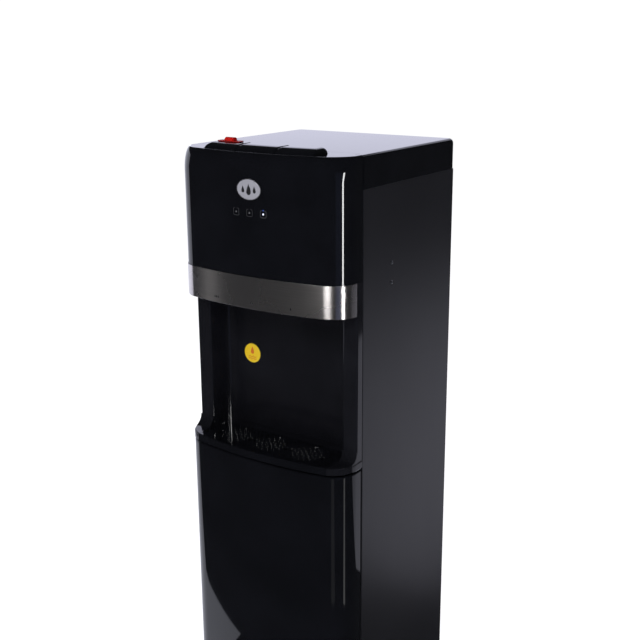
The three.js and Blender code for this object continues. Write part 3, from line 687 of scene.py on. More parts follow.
def round_corners(outline: Sequence[Flat], radii: Sequence[float], steps: int = 8) -> list[Flat]:
    """Rounds the corners of a polygon.

    Args:
        outline: the corners in order.
        radii: the radius at each corner, 0 to leave it sharp.
        steps: straight pieces in each rounded corner.

    Returns:
        The rounded outline.
    """
    done: list[Flat] = []
    for i, corner in enumerate(outline):
        here, radius = Vector(corner), radii[i]
        if not radius:
            done.append(corner)
            continue
        back = (Vector(outline[i - 1]) - here).normalized()
        ahead = (Vector(outline[(i + 1) % len(outline)]) - here).normalized()
        half = math.acos(max(-1.0, min(1.0, back.dot(ahead)))) / 2
        reach = radius / math.tan(half)
        centre = here + (back + ahead).normalized() * radius / math.sin(half)
        first, last = here + back * reach - centre, here + ahead * reach - centre
        turn = first.angle_signed(last)
        for k in range(steps + 1):
            spoke = first.copy()
            spoke.rotate(Matrix.Rotation(-turn * k / steps, 2))
            done.append(tuple(centre + spoke))
    return done


# ---------------------------------------------------------------- the bulged front


@dataclass(frozen=True)
class Sample:
    """A point on the front's outline with its outward direction."""

    x: float
    y: float
    nx: float
    ny: float


@dataclass(frozen=True)
class Front:
    """The outline that the cover, the band, the collar, the door and the plinth share, seen from above."""

    half: float = 155.0
    bulge: float = 68.0
    radius: float = 687.0
    corner: float = 42.0

    @property
    def centre_y(self) -> float:
        """The middle of the shallow front arc."""
        return self.radius - self.bulge

    @property
    def corner_x(self) -> float:
        """The middle of the right corner."""
        return self.half - self.corner

    @property
    def corner_y(self) -> float:
        """The middle of both corners."""
        return self.centre_y - math.sqrt((self.radius - self.corner) ** 2 - self.corner_x**2)

    def samples(self, corner_steps: int = 16, front_steps: int = 36) -> list[Sample]:
        """Points from the left seam round the front to the right seam.

        Args:
            corner_steps: straight pieces in each corner.
            front_steps: straight pieces in the shallow arc.

        Returns:
            The points with their outward directions.
        """
        meet = math.atan2(self.corner_x, self.centre_y - self.corner_y)
        legs = (
            (-self.corner_x, self.corner_y, self.corner, -QUARTER, -meet, corner_steps, 0),
            (0.0, self.centre_y, self.radius, -meet, meet, front_steps, 1),
            (self.corner_x, self.corner_y, self.corner, meet, QUARTER, corner_steps, 1),
        )
        found = []
        for cx, cy, radius, start, end, steps, first in legs:
            for i in range(first, steps + 1):
                a = start + (end - start) * i / steps
                nx, ny = math.sin(a), -math.cos(a)
                found.append(Sample(cx + radius * nx, cy + radius * ny, nx, ny))
        return found

    def outline(self, inset: float | Callable[[Sample], float], back: float) -> list[Flat]:
        """The outline moved inwards and closed straight across.

        Args:
            inset: how far inwards, or what gives it at each sample.
            back: the y of the straight back.

        Returns:
            The closed outline, anticlockwise seen from above.
        """
        by = inset if callable(inset) else (lambda sample: inset)
        points = [(s.x - s.nx * by(s), s.y - s.ny * by(s)) for s in self.samples()]
        return [(points[0][0], back), *points, (points[-1][0], back)]

    def front_y(self, x: float, inset: float = 0.0) -> float:
        """The y of the shallow arc at x."""
        return self.centre_y - math.sqrt((self.radius - inset) ** 2 - x * x)


FRONT = Front()


def rolled(z: float, top: float, across: float, up: float) -> float:
    """How far a rolled edge has come in at height z: a quarter ellipse, across wide and up tall."""
    above = min(1.0, max(0.0, (z - (top - up)) / up))
    return across * (1 - math.sqrt(1 - above * above))


@dataclass(frozen=True)
class Levels:
    """The heights of the cabinet's main lines."""

    top: float = 1040.0
    skirt: float = 991.0
    band_top: float = 857.0
    band_bottom: float = 807.5
    collar_top: float = 575.0
    collar_bottom: float = 563.5
    door_top: float = 560.5
    door_bottom: float = 32.0
    plinth_top: float = 29.0
    foot: float = 12.0
    back: float = 282.0


Z = Levels()
TAPS = (-70.0, 0.0, 70.0)
TAP_Y = -30.0
REAR_Y = 262.0  # the inner face of the rear panel
DRAIN = (-80.0, 585.0)  # x and z of the drain's hole in the rear panel
GLAND = (110.0, 600.0)  # x and z of the gland's hole


# ---------------------------------------------------------------- geometry nodes


class Kit:
    """A geometry-node tree with named size inputs, run once on an empty mesh to make a plain piece."""

    def __init__(self, name: str, sizes: dict[str, float]) -> None:
        """Starts a tree.

        Args:
            name: the tree's name.
            sizes: each named input with its value here, in metres or radians, as a scale or as a count.
        """
        self.name = name
        self.sizes = sizes
        self.tree = bpy.data.node_groups.new(name, "GeometryNodeTree")
        self.tree.interface.new_socket("Geometry", in_out="INPUT", socket_type="NodeSocketGeometry")
        for key, value in sizes.items():
            kind = "NodeSocketInt" if isinstance(value, int) else "NodeSocketFloat"
            self.tree.interface.new_socket(key, in_out="INPUT", socket_type=kind)
        self.tree.interface.new_socket("Geometry", in_out="OUTPUT", socket_type="NodeSocketGeometry")
        self.tools: list[bpy.types.Object] = []
        self.inputs = self.tree.nodes.new("NodeGroupInput").outputs
        self.end = self.tree.nodes.new("NodeGroupOutput")

    def add(self, kind: str, settings: dict[str, object] | None = None, **sockets: object) -> bpy.types.Node:
        """Adds a node.

        Args:
            kind: the node's type.
            settings: its properties.
            sockets: what goes into its inputs, by name with underscores for spaces; sockets or plain values.

        Returns:
            The node.
        """
        node = self.tree.nodes.new(kind)
        for key, value in (settings or {}).items():
            setattr(node, key, value)
        for key, value in sockets.items():
            name = key.replace("_", " ")
            target = next(s for s in node.inputs if s.name == name and s.enabled)
            if isinstance(value, bpy.types.NodeSocket):
                self.tree.links.new(value, target)
            else:
                target.default_value = value
        return node

    def math(self, operation: str, first: object, second: object = 0.0) -> bpy.types.NodeSocket:
        """One calculation on two values or sockets.

        Args:
            operation: the node's operation.
            first: the first value or socket.
            second: the second one, for an operation that takes two.

        Returns:
            The result.
        """
        node = self.tree.nodes.new("ShaderNodeMath")
        node.operation = operation
        for target, value in zip(node.inputs, (first, second)):
            if isinstance(value, bpy.types.NodeSocket):
                self.tree.links.new(value, target)
            else:
                target.default_value = value
        return node.outputs[0]

    def ring(self, count: object, radius: object, turn: object = 0.0) -> bpy.types.NodeSocket:
        """Points evenly spaced on a level circle about the origin.

        Args:
            count: how many points.
            radius: the circle's radius.
            turn: the angle of the first point.

        Returns:
            The points; scatter() places a shape on them.
        """
        line = self.add("GeometryNodeMeshLine", Count=count)
        index = self.add("GeometryNodeInputIndex").outputs[0]
        angle = self.math("ADD", self.math("MULTIPLY", self.math("DIVIDE", index, count), math.tau), turn)
        x, y = (self.math("MULTIPLY", self.math(op, angle), radius) for op in ("COSINE", "SINE"))
        place = self.add("ShaderNodeCombineXYZ", X=x, Y=y).outputs[0]
        return self.add("GeometryNodeSetPosition", Geometry=line.outputs[0], Position=place).outputs[0]

    def copied(self, source: bpy.types.Object) -> bpy.types.NodeSocket:
        """The geometry of a loose object, which is used up when the tree has run."""
        info = self.add("GeometryNodeObjectInfo")
        info.inputs["Object"].default_value = source
        self.tools.append(source)
        return info.outputs["Geometry"]

    def scatter(self, points: bpy.types.NodeSocket, shape: bpy.types.NodeSocket) -> bpy.types.NodeSocket:
        """Places a shape on every point."""
        return self.add("GeometryNodeInstanceOnPoints", Points=points, Instance=shape).outputs[0]

    def moved(
        self, geometry: bpy.types.NodeSocket, place: Point, turn: Point = (0, 0, 0)
    ) -> bpy.types.NodeSocket:
        """Shifts geometry by metres and turns it by radians."""
        node = self.add("GeometryNodeTransform", Geometry=geometry, Translation=place, Rotation=turn)
        return node.outputs[0]

    def joined(self, *geometries: bpy.types.NodeSocket) -> bpy.types.NodeSocket:
        """Several geometries as one."""
        node = self.tree.nodes.new("GeometryNodeJoinGeometry")
        for geometry in geometries:
            self.tree.links.new(geometry, node.inputs[0])
        return node.outputs[0]

    def fill(self, modifier: bpy.types.Modifier) -> None:
        """Gives a modifier that uses the tree its sizes, by socket identifier."""
        for item in self.tree.interface.items_tree:
            if item.in_out == "INPUT" and item.name in self.sizes:
                modifier[item.identifier] = self.sizes[item.name]

    def run(self, geometry: bpy.types.NodeSocket, name: str, finish: Finish) -> bpy.types.Object:
        """Ends the tree and turns its result into a plain piece.

        Args:
            geometry: what the tree makes.
            name: the piece's name.
            finish: what the piece is made of.

        Returns:
            The piece, with no modifier left.
        """
        material = Finishes.material(finish)
        whole = self.add("GeometryNodeRealizeInstances", Geometry=geometry).outputs[0]
        painted = self.add("GeometryNodeSetMaterial", Geometry=whole, Material=material).outputs[0]
        self.tree.links.new(painted, self.end.inputs[0])
        piece = bpy.data.objects.new(name, bpy.data.meshes.new(name))
        bpy.context.scene.collection.objects.link(piece)
        modifier = piece.modifiers.new(self.name, "NODES")
        modifier.node_group = self.tree
        self.fill(modifier)
        bake(piece)
        for tool in self.tools:
            bpy.data.objects.remove(tool)
        return piece


class Holes:
    """Drills for the boolean cuts, each a closed shape repeated by geometry nodes."""

    @staticmethod
    def pointed(kit: Kit, half: Flat, rim: float, steps: int) -> bpy.types.NodeSocket:
        """A drill that widens at the top, so that its hole has a rounded rim.

        Args:
            kit: the tree that uses the drill.
            half: half the hole's width and length, in millimetres.
            rim: how much wider the drill gets.
            steps: points round the drill.

        Returns:
            The drill's geometry, about the origin; the rim starts 0.5 mm above it.
        """
        rings = []
        for height, part in ((-4.0, 0.0), (0.5, 0.0), (0.72, 0.1), (0.9, 0.35), (1.01, 1.0), (4.0, 1.0)):
            plan = circle(half[0] + rim * part, steps, half[1] + rim * part)
            rings.append([(u, v, height) for u, v in plan])
        return kit.copied(Shape().skin(rings).make("drill", loose=True))

    @classmethod
    def rosettes(
        cls, places: Sequence[Point], rings: Sequence[tuple[float, int]], radius: float
    ) -> bpy.types.Object:
        """Rings of round drain holes, with a wide hole at each side and a slot at the back and the front.

        Args:
            places: the middle of each rosette, in millimetres.
            rings: pairs of a ring's radius and its number of holes.
            radius: the radius of a small hole.

        Returns:
            The drills as one piece.
        """
        names = [f"Ring {i + 1}" for i in range(len(rings))]
        kit = Kit("rosette_drills", {name: reach * MM for name, (reach, _) in zip(names, rings)})
        small = cls.pointed(kit, (radius, radius), 0.35, 12)
        parts = [cls.pointed(kit, (2.4, 2.4), 0.8, 16)]
        for i, (name, (_, count)) in enumerate(zip(names, rings)):
            parts.append(kit.scatter(kit.ring(count, kit.inputs[name], i * 0.2), small))
        wide = cls.pointed(kit, (3.0, 4.6), 0.6, 16)
        parts += [kit.moved(wide, (side * 30.5 * MM, 0, 0)) for side in (-1, 1)]
        parts.append(kit.moved(cls.pointed(kit, (5.5, 1.0), 0.5, 14), (0, 29.5 * MM, 0)))
        parts.append(kit.moved(cls.pointed(kit, (0.9, 3.4), 0.5, 14), (0, -29.0 * MM, 0)))
        one = kit.joined(*parts)
        spots = [kit.moved(one, (x * MM, y * MM + Shape.seam, z * MM)) for x, y, z in places]
        return kit.run(kit.joined(*spots), "rosette_drills", Finishes.gloss_black)

    @staticmethod
    def slots(columns: int, rows: int, pitch: Flat, size: Point, corner: Point) -> bpy.types.Object:
        """A grid of level vent slots that go through a sheet facing y.

        Args:
            columns: slots side by side.
            rows: slots above each other.
            pitch: the distance between columns and between rows, in millimetres.
            size: one slot's size.
            corner: the middle of the lowest left slot.

        Returns:
            The drills as one piece.
        """
        names = ("Column pitch", "Row pitch", "Slot width", "Slot depth", "Slot height")
        kit = Kit("vent_drills", {name: value * MM for name, value in zip(names, (*pitch, *size))})
        across, upward, width, depth, height = (kit.inputs[name] for name in names)
        block = kit.add("ShaderNodeCombineXYZ", X=width, Y=depth, Z=height).outputs[0]
        slot = kit.add("GeometryNodeMeshCube", Size=block).outputs["Mesh"]
        across = kit.add("ShaderNodeCombineXYZ", X=across).outputs[0]
        upward = kit.add("ShaderNodeCombineXYZ", Z=upward).outputs[0]
        row = kit.add("GeometryNodeMeshLine", Count=columns, Offset=across).outputs[0]
        column = kit.add("GeometryNodeMeshLine", Count=rows, Offset=upward).outputs[0]
        grid = kit.scatter(column, kit.scatter(row, slot))
        x, y, z = corner
        placed = kit.moved(grid, (x * MM, y * MM + Shape.seam, z * MM))
        return kit.run(placed, "vent_drills", Finishes.gloss_black)


def screws(name: str, places: Sequence[tuple[Point, Point]], radius: float) -> bpy.types.Object:
    """Pan-head screws with a cross recess.

    Args:
        name: the piece's name.
        places: each screw's seat in millimetres and the direction its head faces.
        radius: the radius of a head.

    Returns:
        All the screws as one piece.
    """
    dome = ((1.0, -0.6), (1.0, 0.5), (0.92, 1.0), (0.7, 1.5), (0.3, 1.8))
    profile = [(radius * part, height) for part, height in dome]
    head = Shape().turned(profile, (0, 0, 0), steps=24).make("screw", loose=True)
    long, short = radius * 0.55, radius * 0.13
    for u, v in ((long, short), (short, long)):
        work(head, Shape().slab((-u, u), (-v, v), (0.7, 3)).make("arm", loose=True), Join.CUT)
    kit = Kit(name, {"Screw size": 1.0})
    size = kit.inputs["Screw size"]
    scale = kit.add("ShaderNodeCombineXYZ", X=size, Y=size, Z=size).outputs[0]
    one = kit.add("GeometryNodeTransform", Geometry=kit.copied(head), Scale=scale).outputs[0]
    copies = []
    for (x, y, z), facing in places:
        turn = Vector((0, 0, 1)).rotation_difference(Vector(facing)).to_euler()
        copies.append(kit.moved(one, (x * MM, y * MM + Shape.seam, z * MM), tuple(turn)))
    return kit.run(kit.joined(*copies), name, Finishes.screw_zinc)


# ---------------------------------------------------------------- top


@dataclass(frozen=True)
class FrontCover:
    """The glossy moulded cover: its rolled top, the tongue over the lid and the pocket for the buttons."""

    inset: float = 1.0
    wall: float = 2.6
    tongue_half: float = 140.0
    tongue_back: float = 11.5
    pocket_half: float = 101.5
    pocket_inset: float = 12.3
    pocket_back: float = -10.0
    steps: int = 12

    @staticmethod
    def roll(sample: Sample) -> Flat:
        """The width and the height of the rolled edge, which is fullest at the corners."""
        turn = math.atan2(abs(sample.nx), -sample.ny) / QUARTER
        at_corner = math.sin(math.pi * turn)
        return 8 - 3 * turn + 4.5 * at_corner, 18 - 10 * turn + 23 * at_corner

    def skin(self, extra: float, back: float, drop: float) -> Shape:
        """The cover's body, solid.

        Args:
            extra: how far inside the real surface.
            back: the y of the back.
            drop: how far below the real top.

        Returns:
            The closed form.
        """
        samples = FRONT.samples()
        rings = []
        for k in range(-1, self.steps + 1):
            t = max(0, k) / self.steps * QUARTER
            ring = []
            for s in samples:
                across, up = self.roll(s)
                inward = self.inset + extra + across * (1 - math.cos(t))
                z = Z.top - drop - up * (1 - math.sin(t)) if k >= 0 else Z.band_top + 0.3 - extra
                ring.append((s.x - s.nx * inward, s.y - s.ny * inward, z))
            rings.append([(ring[0][0], back, ring[0][2]), *ring, (ring[-1][0], back, ring[-1][2])])
        return Shape().skin(rings)

    def build(self) -> bpy.types.Object:
        """Builds and dresses the cover.

        Returns:
            The cover.
        """
        cover = self.skin(0, -0.3, 0).make("front_cover_shell")
        work(cover, self.skin(self.wall, 4, self.wall).make("inside"), Join.CUT)
        across = (-self.tongue_half, self.tongue_half)
        tongue = Shape().slab(across, (-6, self.tongue_back), (Z.top - self.wall, Z.top))
        work(cover, tongue.make("tongue"), Join.ADD)
        plan = FRONT.outline(self.pocket_inset, self.pocket_back)
        pocket = Shape().prism(plan, Z.top - 30, Z.top + 10).make("pocket")
        across = (-self.pocket_half, self.pocket_half)
        sides = Shape().slab(across, (-80, 0), (Z.top - 40, Z.top + 20)).make("sides")
        work(cover, work(pocket, sides, Join.COMMON), Join.CUT)
        return dress(cover, Finishes.gloss_black, "cabinet", "front_cover", edge=Edge(0.45))


@dataclass(frozen=True)
class TopLid:
    """The lid over the works, rolled along its sides and back."""

    across: float = 5.0
    up: float = 8.0
    corner: float = 7.0
    wall: float = 2.6
    steps: int = 10

    def ring(self, inset: float, front: float, z: float) -> list[Point]:
        """The lid's outline at one height."""
        x, y = FRONT.half - inset, Z.back - inset
        right = arc((x - self.corner, y - self.corner), self.corner, 0, QUARTER, 8)
        left = arc((-x + self.corner, y - self.corner), self.corner, QUARTER, math.pi, 8)
        return [(px, py, z) for px, py in [(-x, front), (x, front), *right, *left]]

    def skin(self, extra: float, front: float, drop: float) -> Shape:
        """The lid's body, solid.

        Args:
            extra: how far inside the real surface.
            front: the y of the front.
            drop: how far below the real top.

        Returns:
            The closed form.
        """
        rings = [self.ring(extra, front, Z.skirt - extra)]
        for k in range(self.steps + 1):
            t = k / self.steps * QUARTER
            inward = self.across * (1 - math.cos(t)) + extra
            rings.append(self.ring(inward, front, Z.top - drop - self.up * (1 - math.sin(t))))
        return Shape().skin(rings)

    def build(self, cover: FrontCover) -> None:
        """Builds and dresses the lid, notched for the cover's tongue.

        Args:
            cover: the cover, for the size of its tongue.
        """
        lid = self.skin(0, 0, 0).make("lid_shell")
        work(lid, self.skin(self.wall, -2, self.wall).make("inside"), Join.CUT)
        half = cover.tongue_half + 0.5
        notch = Shape().slab((-half, half), (-5, cover.tongue_back + 0.5), (Z.top - 6, Z.top + 5))
        work(lid, notch.make("notch"), Join.CUT)
        dress(lid, Finishes.gloss_black, "cabinet", "top_lid", edge=Edge(0.45))


@dataclass(frozen=True)
class Button:
    """One pillow-shaped push button with its return spring."""

    name: str
    tap_x: float
    span: Span
    ends: tuple[Flat, Flat]
    top: float = 1048.5
    low: float = 1020.0
    inset: float = 12.8
    back: float = -10.5
    slope: Flat = (23.0, 13.0)
    rear: Flat = (2.2, 3.5)
    coil: Span = (859.1, 888.9)
    steps: int = 14

    def ring(self, z: float, shrink: float) -> list[Point]:
        """The button's outline at one height.

        Args:
            z: the height.
            shrink: how far inside the real surface.

        Returns:
            The closed outline.
        """
        left, right = (rolled(z, self.top - shrink, *end) for end in self.ends)
        x0, x1 = self.span[0] + left + shrink, self.span[1] - right - shrink
        inset = self.inset + rolled(z, self.top - shrink, *self.slope) + shrink
        back = self.back - rolled(z, self.top - shrink, *self.rear) - shrink
        front = [(x0 + (x1 - x0) * i / 24, 0.0) for i in range(25)]
        curve = [(x, FRONT.front_y(x, inset)) for x, _ in front]
        radii = [2.5] + [0.0] * (len(curve) - 2) + [2.5]
        return [(x, y, z) for x, y in round_corners([*curve, (x1, back), (x0, back)], [*radii, 1.5, 1.5], 5)]

    def skin(self, shrink: float, low: float) -> Shape:
        """The button's body, solid.

        Args:
            shrink: how far inside the real surface.
            low: the height of its underside.

        Returns:
            The closed form.
        """
        tall = max(self.slope[1], *(end[1] for end in self.ends))
        rings = [self.ring(low, shrink)]
        for k in range(self.steps + 1):
            z = self.top - shrink - tall * (1 - math.sin(k / self.steps * QUARTER))
            rings.append(self.ring(z, shrink))
        return Shape().skin(rings)

    def build(self) -> None:
        """Builds and dresses the button's cap and its spring."""
        body = f"{self.name}_tap"
        cap = self.skin(0, self.low).make(f"{self.name}_button_cap")
        work(cap, self.skin(2.0, self.low - 5).make("inside"), Join.CUT)
        dress(cap, Finishes.gloss_black, body, f"{self.name}_button", edge=None)
        wire, radius, per_turn = 0.8, 5.8, 28
        count = int(4.5 * per_turn)
        low, high = self.coil
        path = []
        for i in range(count + 1):
            a = math.tau * i / per_turn
            z = low + (high - low) * i / count
            path.append(Vector((self.tap_x + radius * math.cos(a), TAP_Y + radius * math.sin(a), z)))
        spring = Shape().tube(path, wire, 10).make(f"{self.name}_return_spring")
        dress(spring, Finishes.stainless, "cabinet", f"{self.name}_spring", edge=None)
        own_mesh(spring)


@dataclass(frozen=True)
class ChildLock:
    """The red slide on the hot button."""

    x: float = -69.0
    y: float = -21.0
    foot: float = 1048.8

    def build(self) -> None:
        """Builds and dresses the base and the grip."""
        x, y, z = self.x, self.y, self.foot
        plan = round_corners([(x - 21, y - 7), (x + 21, y - 7), (x + 21, y + 7), (x - 21, y + 7)], [3] * 4, 6)
        base = Shape().prism(plan, z, z + 1.8).make("child_lock_base")
        dress(base, Finishes.lock_dark, "child_lock", edge=Edge(0.6, steps=3))
        side = [(-6, 1), (6, 1), (5.4, 4.4), (3.2, 6.2), (0.2, 6.7), (-2.2, 6.0), (-4.4, 4.2)]
        grip = Shape().along_x([(y + dy, z + dz) for dy, dz in side], x - 8, x + 8).make("child_lock_grip")
        for k in range(3):
            start = y - 1.6 + 2.4 * k
            groove = Shape().slab((x - 8.6, x + 8.6), (start, start + 0.7), (z + 6.05, z + 9))
            work(grip, groove.make("groove"), Join.CUT)
        dress(grip, Finishes.lock_red, "child_lock", "child_lock", edge=Edge(0.5, steps=3))


class Top:
    """Everything above the steel band."""

    def __init__(self) -> None:
        """Sets the sizes of the three buttons."""
        self.cover = FrontCover()
        self.lid = TopLid()
        inner = (3.0, 5.0)
        self.buttons = (
            Button("hot", TAPS[0], (-101.0, -36.0), ((8.0, 9.0), inner)),
            Button("normal", TAPS[1], (-35.0, 35.0), (inner, inner)),
            Button("cold", TAPS[2], (36.0, 101.0), (inner, (11.0, 9.0))),
        )

    def build(self) -> bpy.types.Object:
        """Builds the cover, the lid, the buttons and the lock.

        Returns:
            The cover.
        """
        cover = self.cover.build()
        self.lid.build(self.cover)
        for button in self.buttons:
            button.build()
        ChildLock().build()
        return cover


# ---------------------------------------------------------------- marks on the front


class Panel:
    """A flat working plane that touches the bulged front."""

    def __init__(self, x: float, inset: float, z: float) -> None:
        """Places the plane at x on the front, inset behind its outline, with its middle at height z."""
        turn = math.asin(x / (FRONT.radius - inset))
        self.middle = Vector((x, FRONT.front_y(x, inset), z))
        self.right = Vector((math.cos(turn), math.sin(turn), 0))
        self.out = Vector((math.sin(turn), -math.cos(turn), 0))

    def point(self, u: float, v: float, out: float = 0.0) -> Point:
        """A point u to the right, v up and out from the plane."""
        return tuple(self.middle + self.right * u + Vector((0, 0, v)) + self.out * out)

    def raised(self, shape: Shape, outline: Sequence[Flat], out: Span) -> Shape:
        """Adds an outline in the plane, raised from out[0] to out[1]."""
        return shape.skin([[self.point(u, v, depth) for u, v in outline] for depth in out])


def drop(height: float, steps: int = 20) -> list[Flat]:
    """The outline of a drop of water about its middle.

    Args:
        height: how tall the drop is.
        steps: how many points.

    Returns:
        The points.
    """
    points = []
    for i in range(steps):
        a = math.tau * i / steps
        narrow = math.sin(a / 2) ** 1.5
        points.append((0.36 * height * math.sin(a) * narrow, 0.5 * height * math.cos(a)))
    return points


@dataclass(frozen=True)
class Badge:
    """The oval plate in its dark rim, with three plain drops on it."""

    half: Flat = (22.3, 15.8)
    z: float = 987.4

    def ellipse(self, shrink: float, steps: int = 64) -> list[Flat]:
        """The plate's outline, made smaller by shrink."""
        return circle(self.half[0] - shrink, steps, self.half[1] - shrink)

    def build(self) -> None:
        """Builds and dresses the plate, the rim and the drops."""
        panel = Panel(0, 1.0, self.z)
        rings = [(0.6, -0.6), (0.6, 0.45), (1.2, 0.6), (6, 0.72), (12, 0.78)]
        skin = [[panel.point(u, v, out) for u, v in self.ellipse(shrink)] for shrink, out in rings]
        plate = Shape().skin(skin).make("badge_oval")
        dress(plate, Finishes.badge_silver, "cabinet", "badge_plate", edge=None)
        path = [Vector(panel.point(u, v, 0.2)) for u, v in self.ellipse(0.4)]
        rim = Shape().tube(path, 0.75, 10, loop=True).make("badge_rim")
        dress(rim, Finishes.mark_dark, "cabinet", edge=None)
        drops = Shape()
        for u, height in ((-10.5, 10.0), (0.0, 16.0), (10.5, 10.0)):
            outline = [(u + du, dv) for du, dv in drop(height)]
            panel.raised(drops, outline, (0.3, 1.0))
        dress(drops.make("badge_drops"), Finishes.mark_dark, "cabinet", edge=None)


@dataclass(frozen=True)
class Indicators:
    """Three marks: rounded square outlines, each with a lamp in the middle; the last one is lit."""

    places: tuple[float, ...] = (-25.0, 0.0, 25.0)
    z: float = 953.0
    half: float = 5.4
    stroke: float = 0.55
    lamp: float = 1.4
    gap: float = 2.0

    def build(self) -> None:
        """Builds and dresses the outlines and the lamps."""
        frames, dim, bright, blue = Shape(), Shape(), Shape(), Shape()
        disc = circle(self.lamp, 20)
        for i, x in enumerate(self.places):
            panel = Panel(x, 1.0, self.z)
            self.outline(frames, panel)
            lit = i == len(self.places) - 1
            panel.raised(bright if lit else dim, disc, (-0.3, 0.08))
            if lit:
                tip = [(u * 0.5, v * 0.5 + self.half) for u, v in disc]
                panel.raised(blue, tip, (-0.3, 0.1))
        dress(frames.make("indicator_frames"), Finishes.icon_grey, "cabinet", "indicator_lens", edge=None)
        dress(dim.make("indicator_lamps"), Finishes.lamp_dim, "cabinet", edge=None)
        dress(bright.make("indicator_lamp_lit"), Finishes.lamp_white, "cabinet", edge=None)
        dress(blue.make("indicator_lamp_blue"), Finishes.lamp_blue, "cabinet", edge=None)

    def outline(self, shape: Shape, panel: Panel) -> None:
        """Adds a rounded square line that is open at the top."""
        h, n, gap = self.half, self.half - self.stroke, self.gap
        outer = round_corners([(-h, h), (-h, -h), (h, -h), (h, h)], [2.2] * 4, 5)
        inner = round_corners([(-n, n), (-n, -n), (n, -n), (n, n)], [1.7] * 4, 5)
        line = [(-gap, h), *outer, (gap, h), (gap, n), *reversed(inner), (-gap, n)]
        panel.raised(shape, line, (-0.3, 0.06))


@dataclass(frozen=True)
class Band:
    """The brushed steel band under the cover, with a small plain mark above each tap."""

    sheet: float = 1.0
    end_y: float = -17.0
    mark_z: float = 817.0

    def build(self) -> bpy.types.Object:
        """Builds and dresses the band and its marks.

        Returns:
            The band.
        """
        band = Shape().prism(FRONT.outline(0, 0), Z.band_bottom, Z.band_top).make("band_strip")
        inside = Shape().prism(FRONT.outline(self.sheet, 5), Z.band_bottom - 5, Z.band_top + 5)
        work(band, inside.make("inside"), Join.CUT)
        ends = Shape().slab((-160, 160), (self.end_y, 10), (700, 1000)).make("ends")
        work(band, ends, Join.CUT)
        dress(band, Finishes.band_steel, "cabinet", "steel_band", edge=Edge(0.4, steps=3))
        marks = Shape()
        for x, count in zip(TAPS, (3, 2, 1)):
            panel = Panel(x, 0, self.mark_z)
            for k in range(count):
                shift = (k - (count - 1) / 2) * 3.4
                panel.raised(marks, [(u + shift, v) for u, v in drop(4.2)], (-0.3, 0.04))
        dress(marks.make("band_marks"), Finishes.mark_dark, "cabinet", edge=None)
        return band


# ---------------------------------------------------------------- alcove


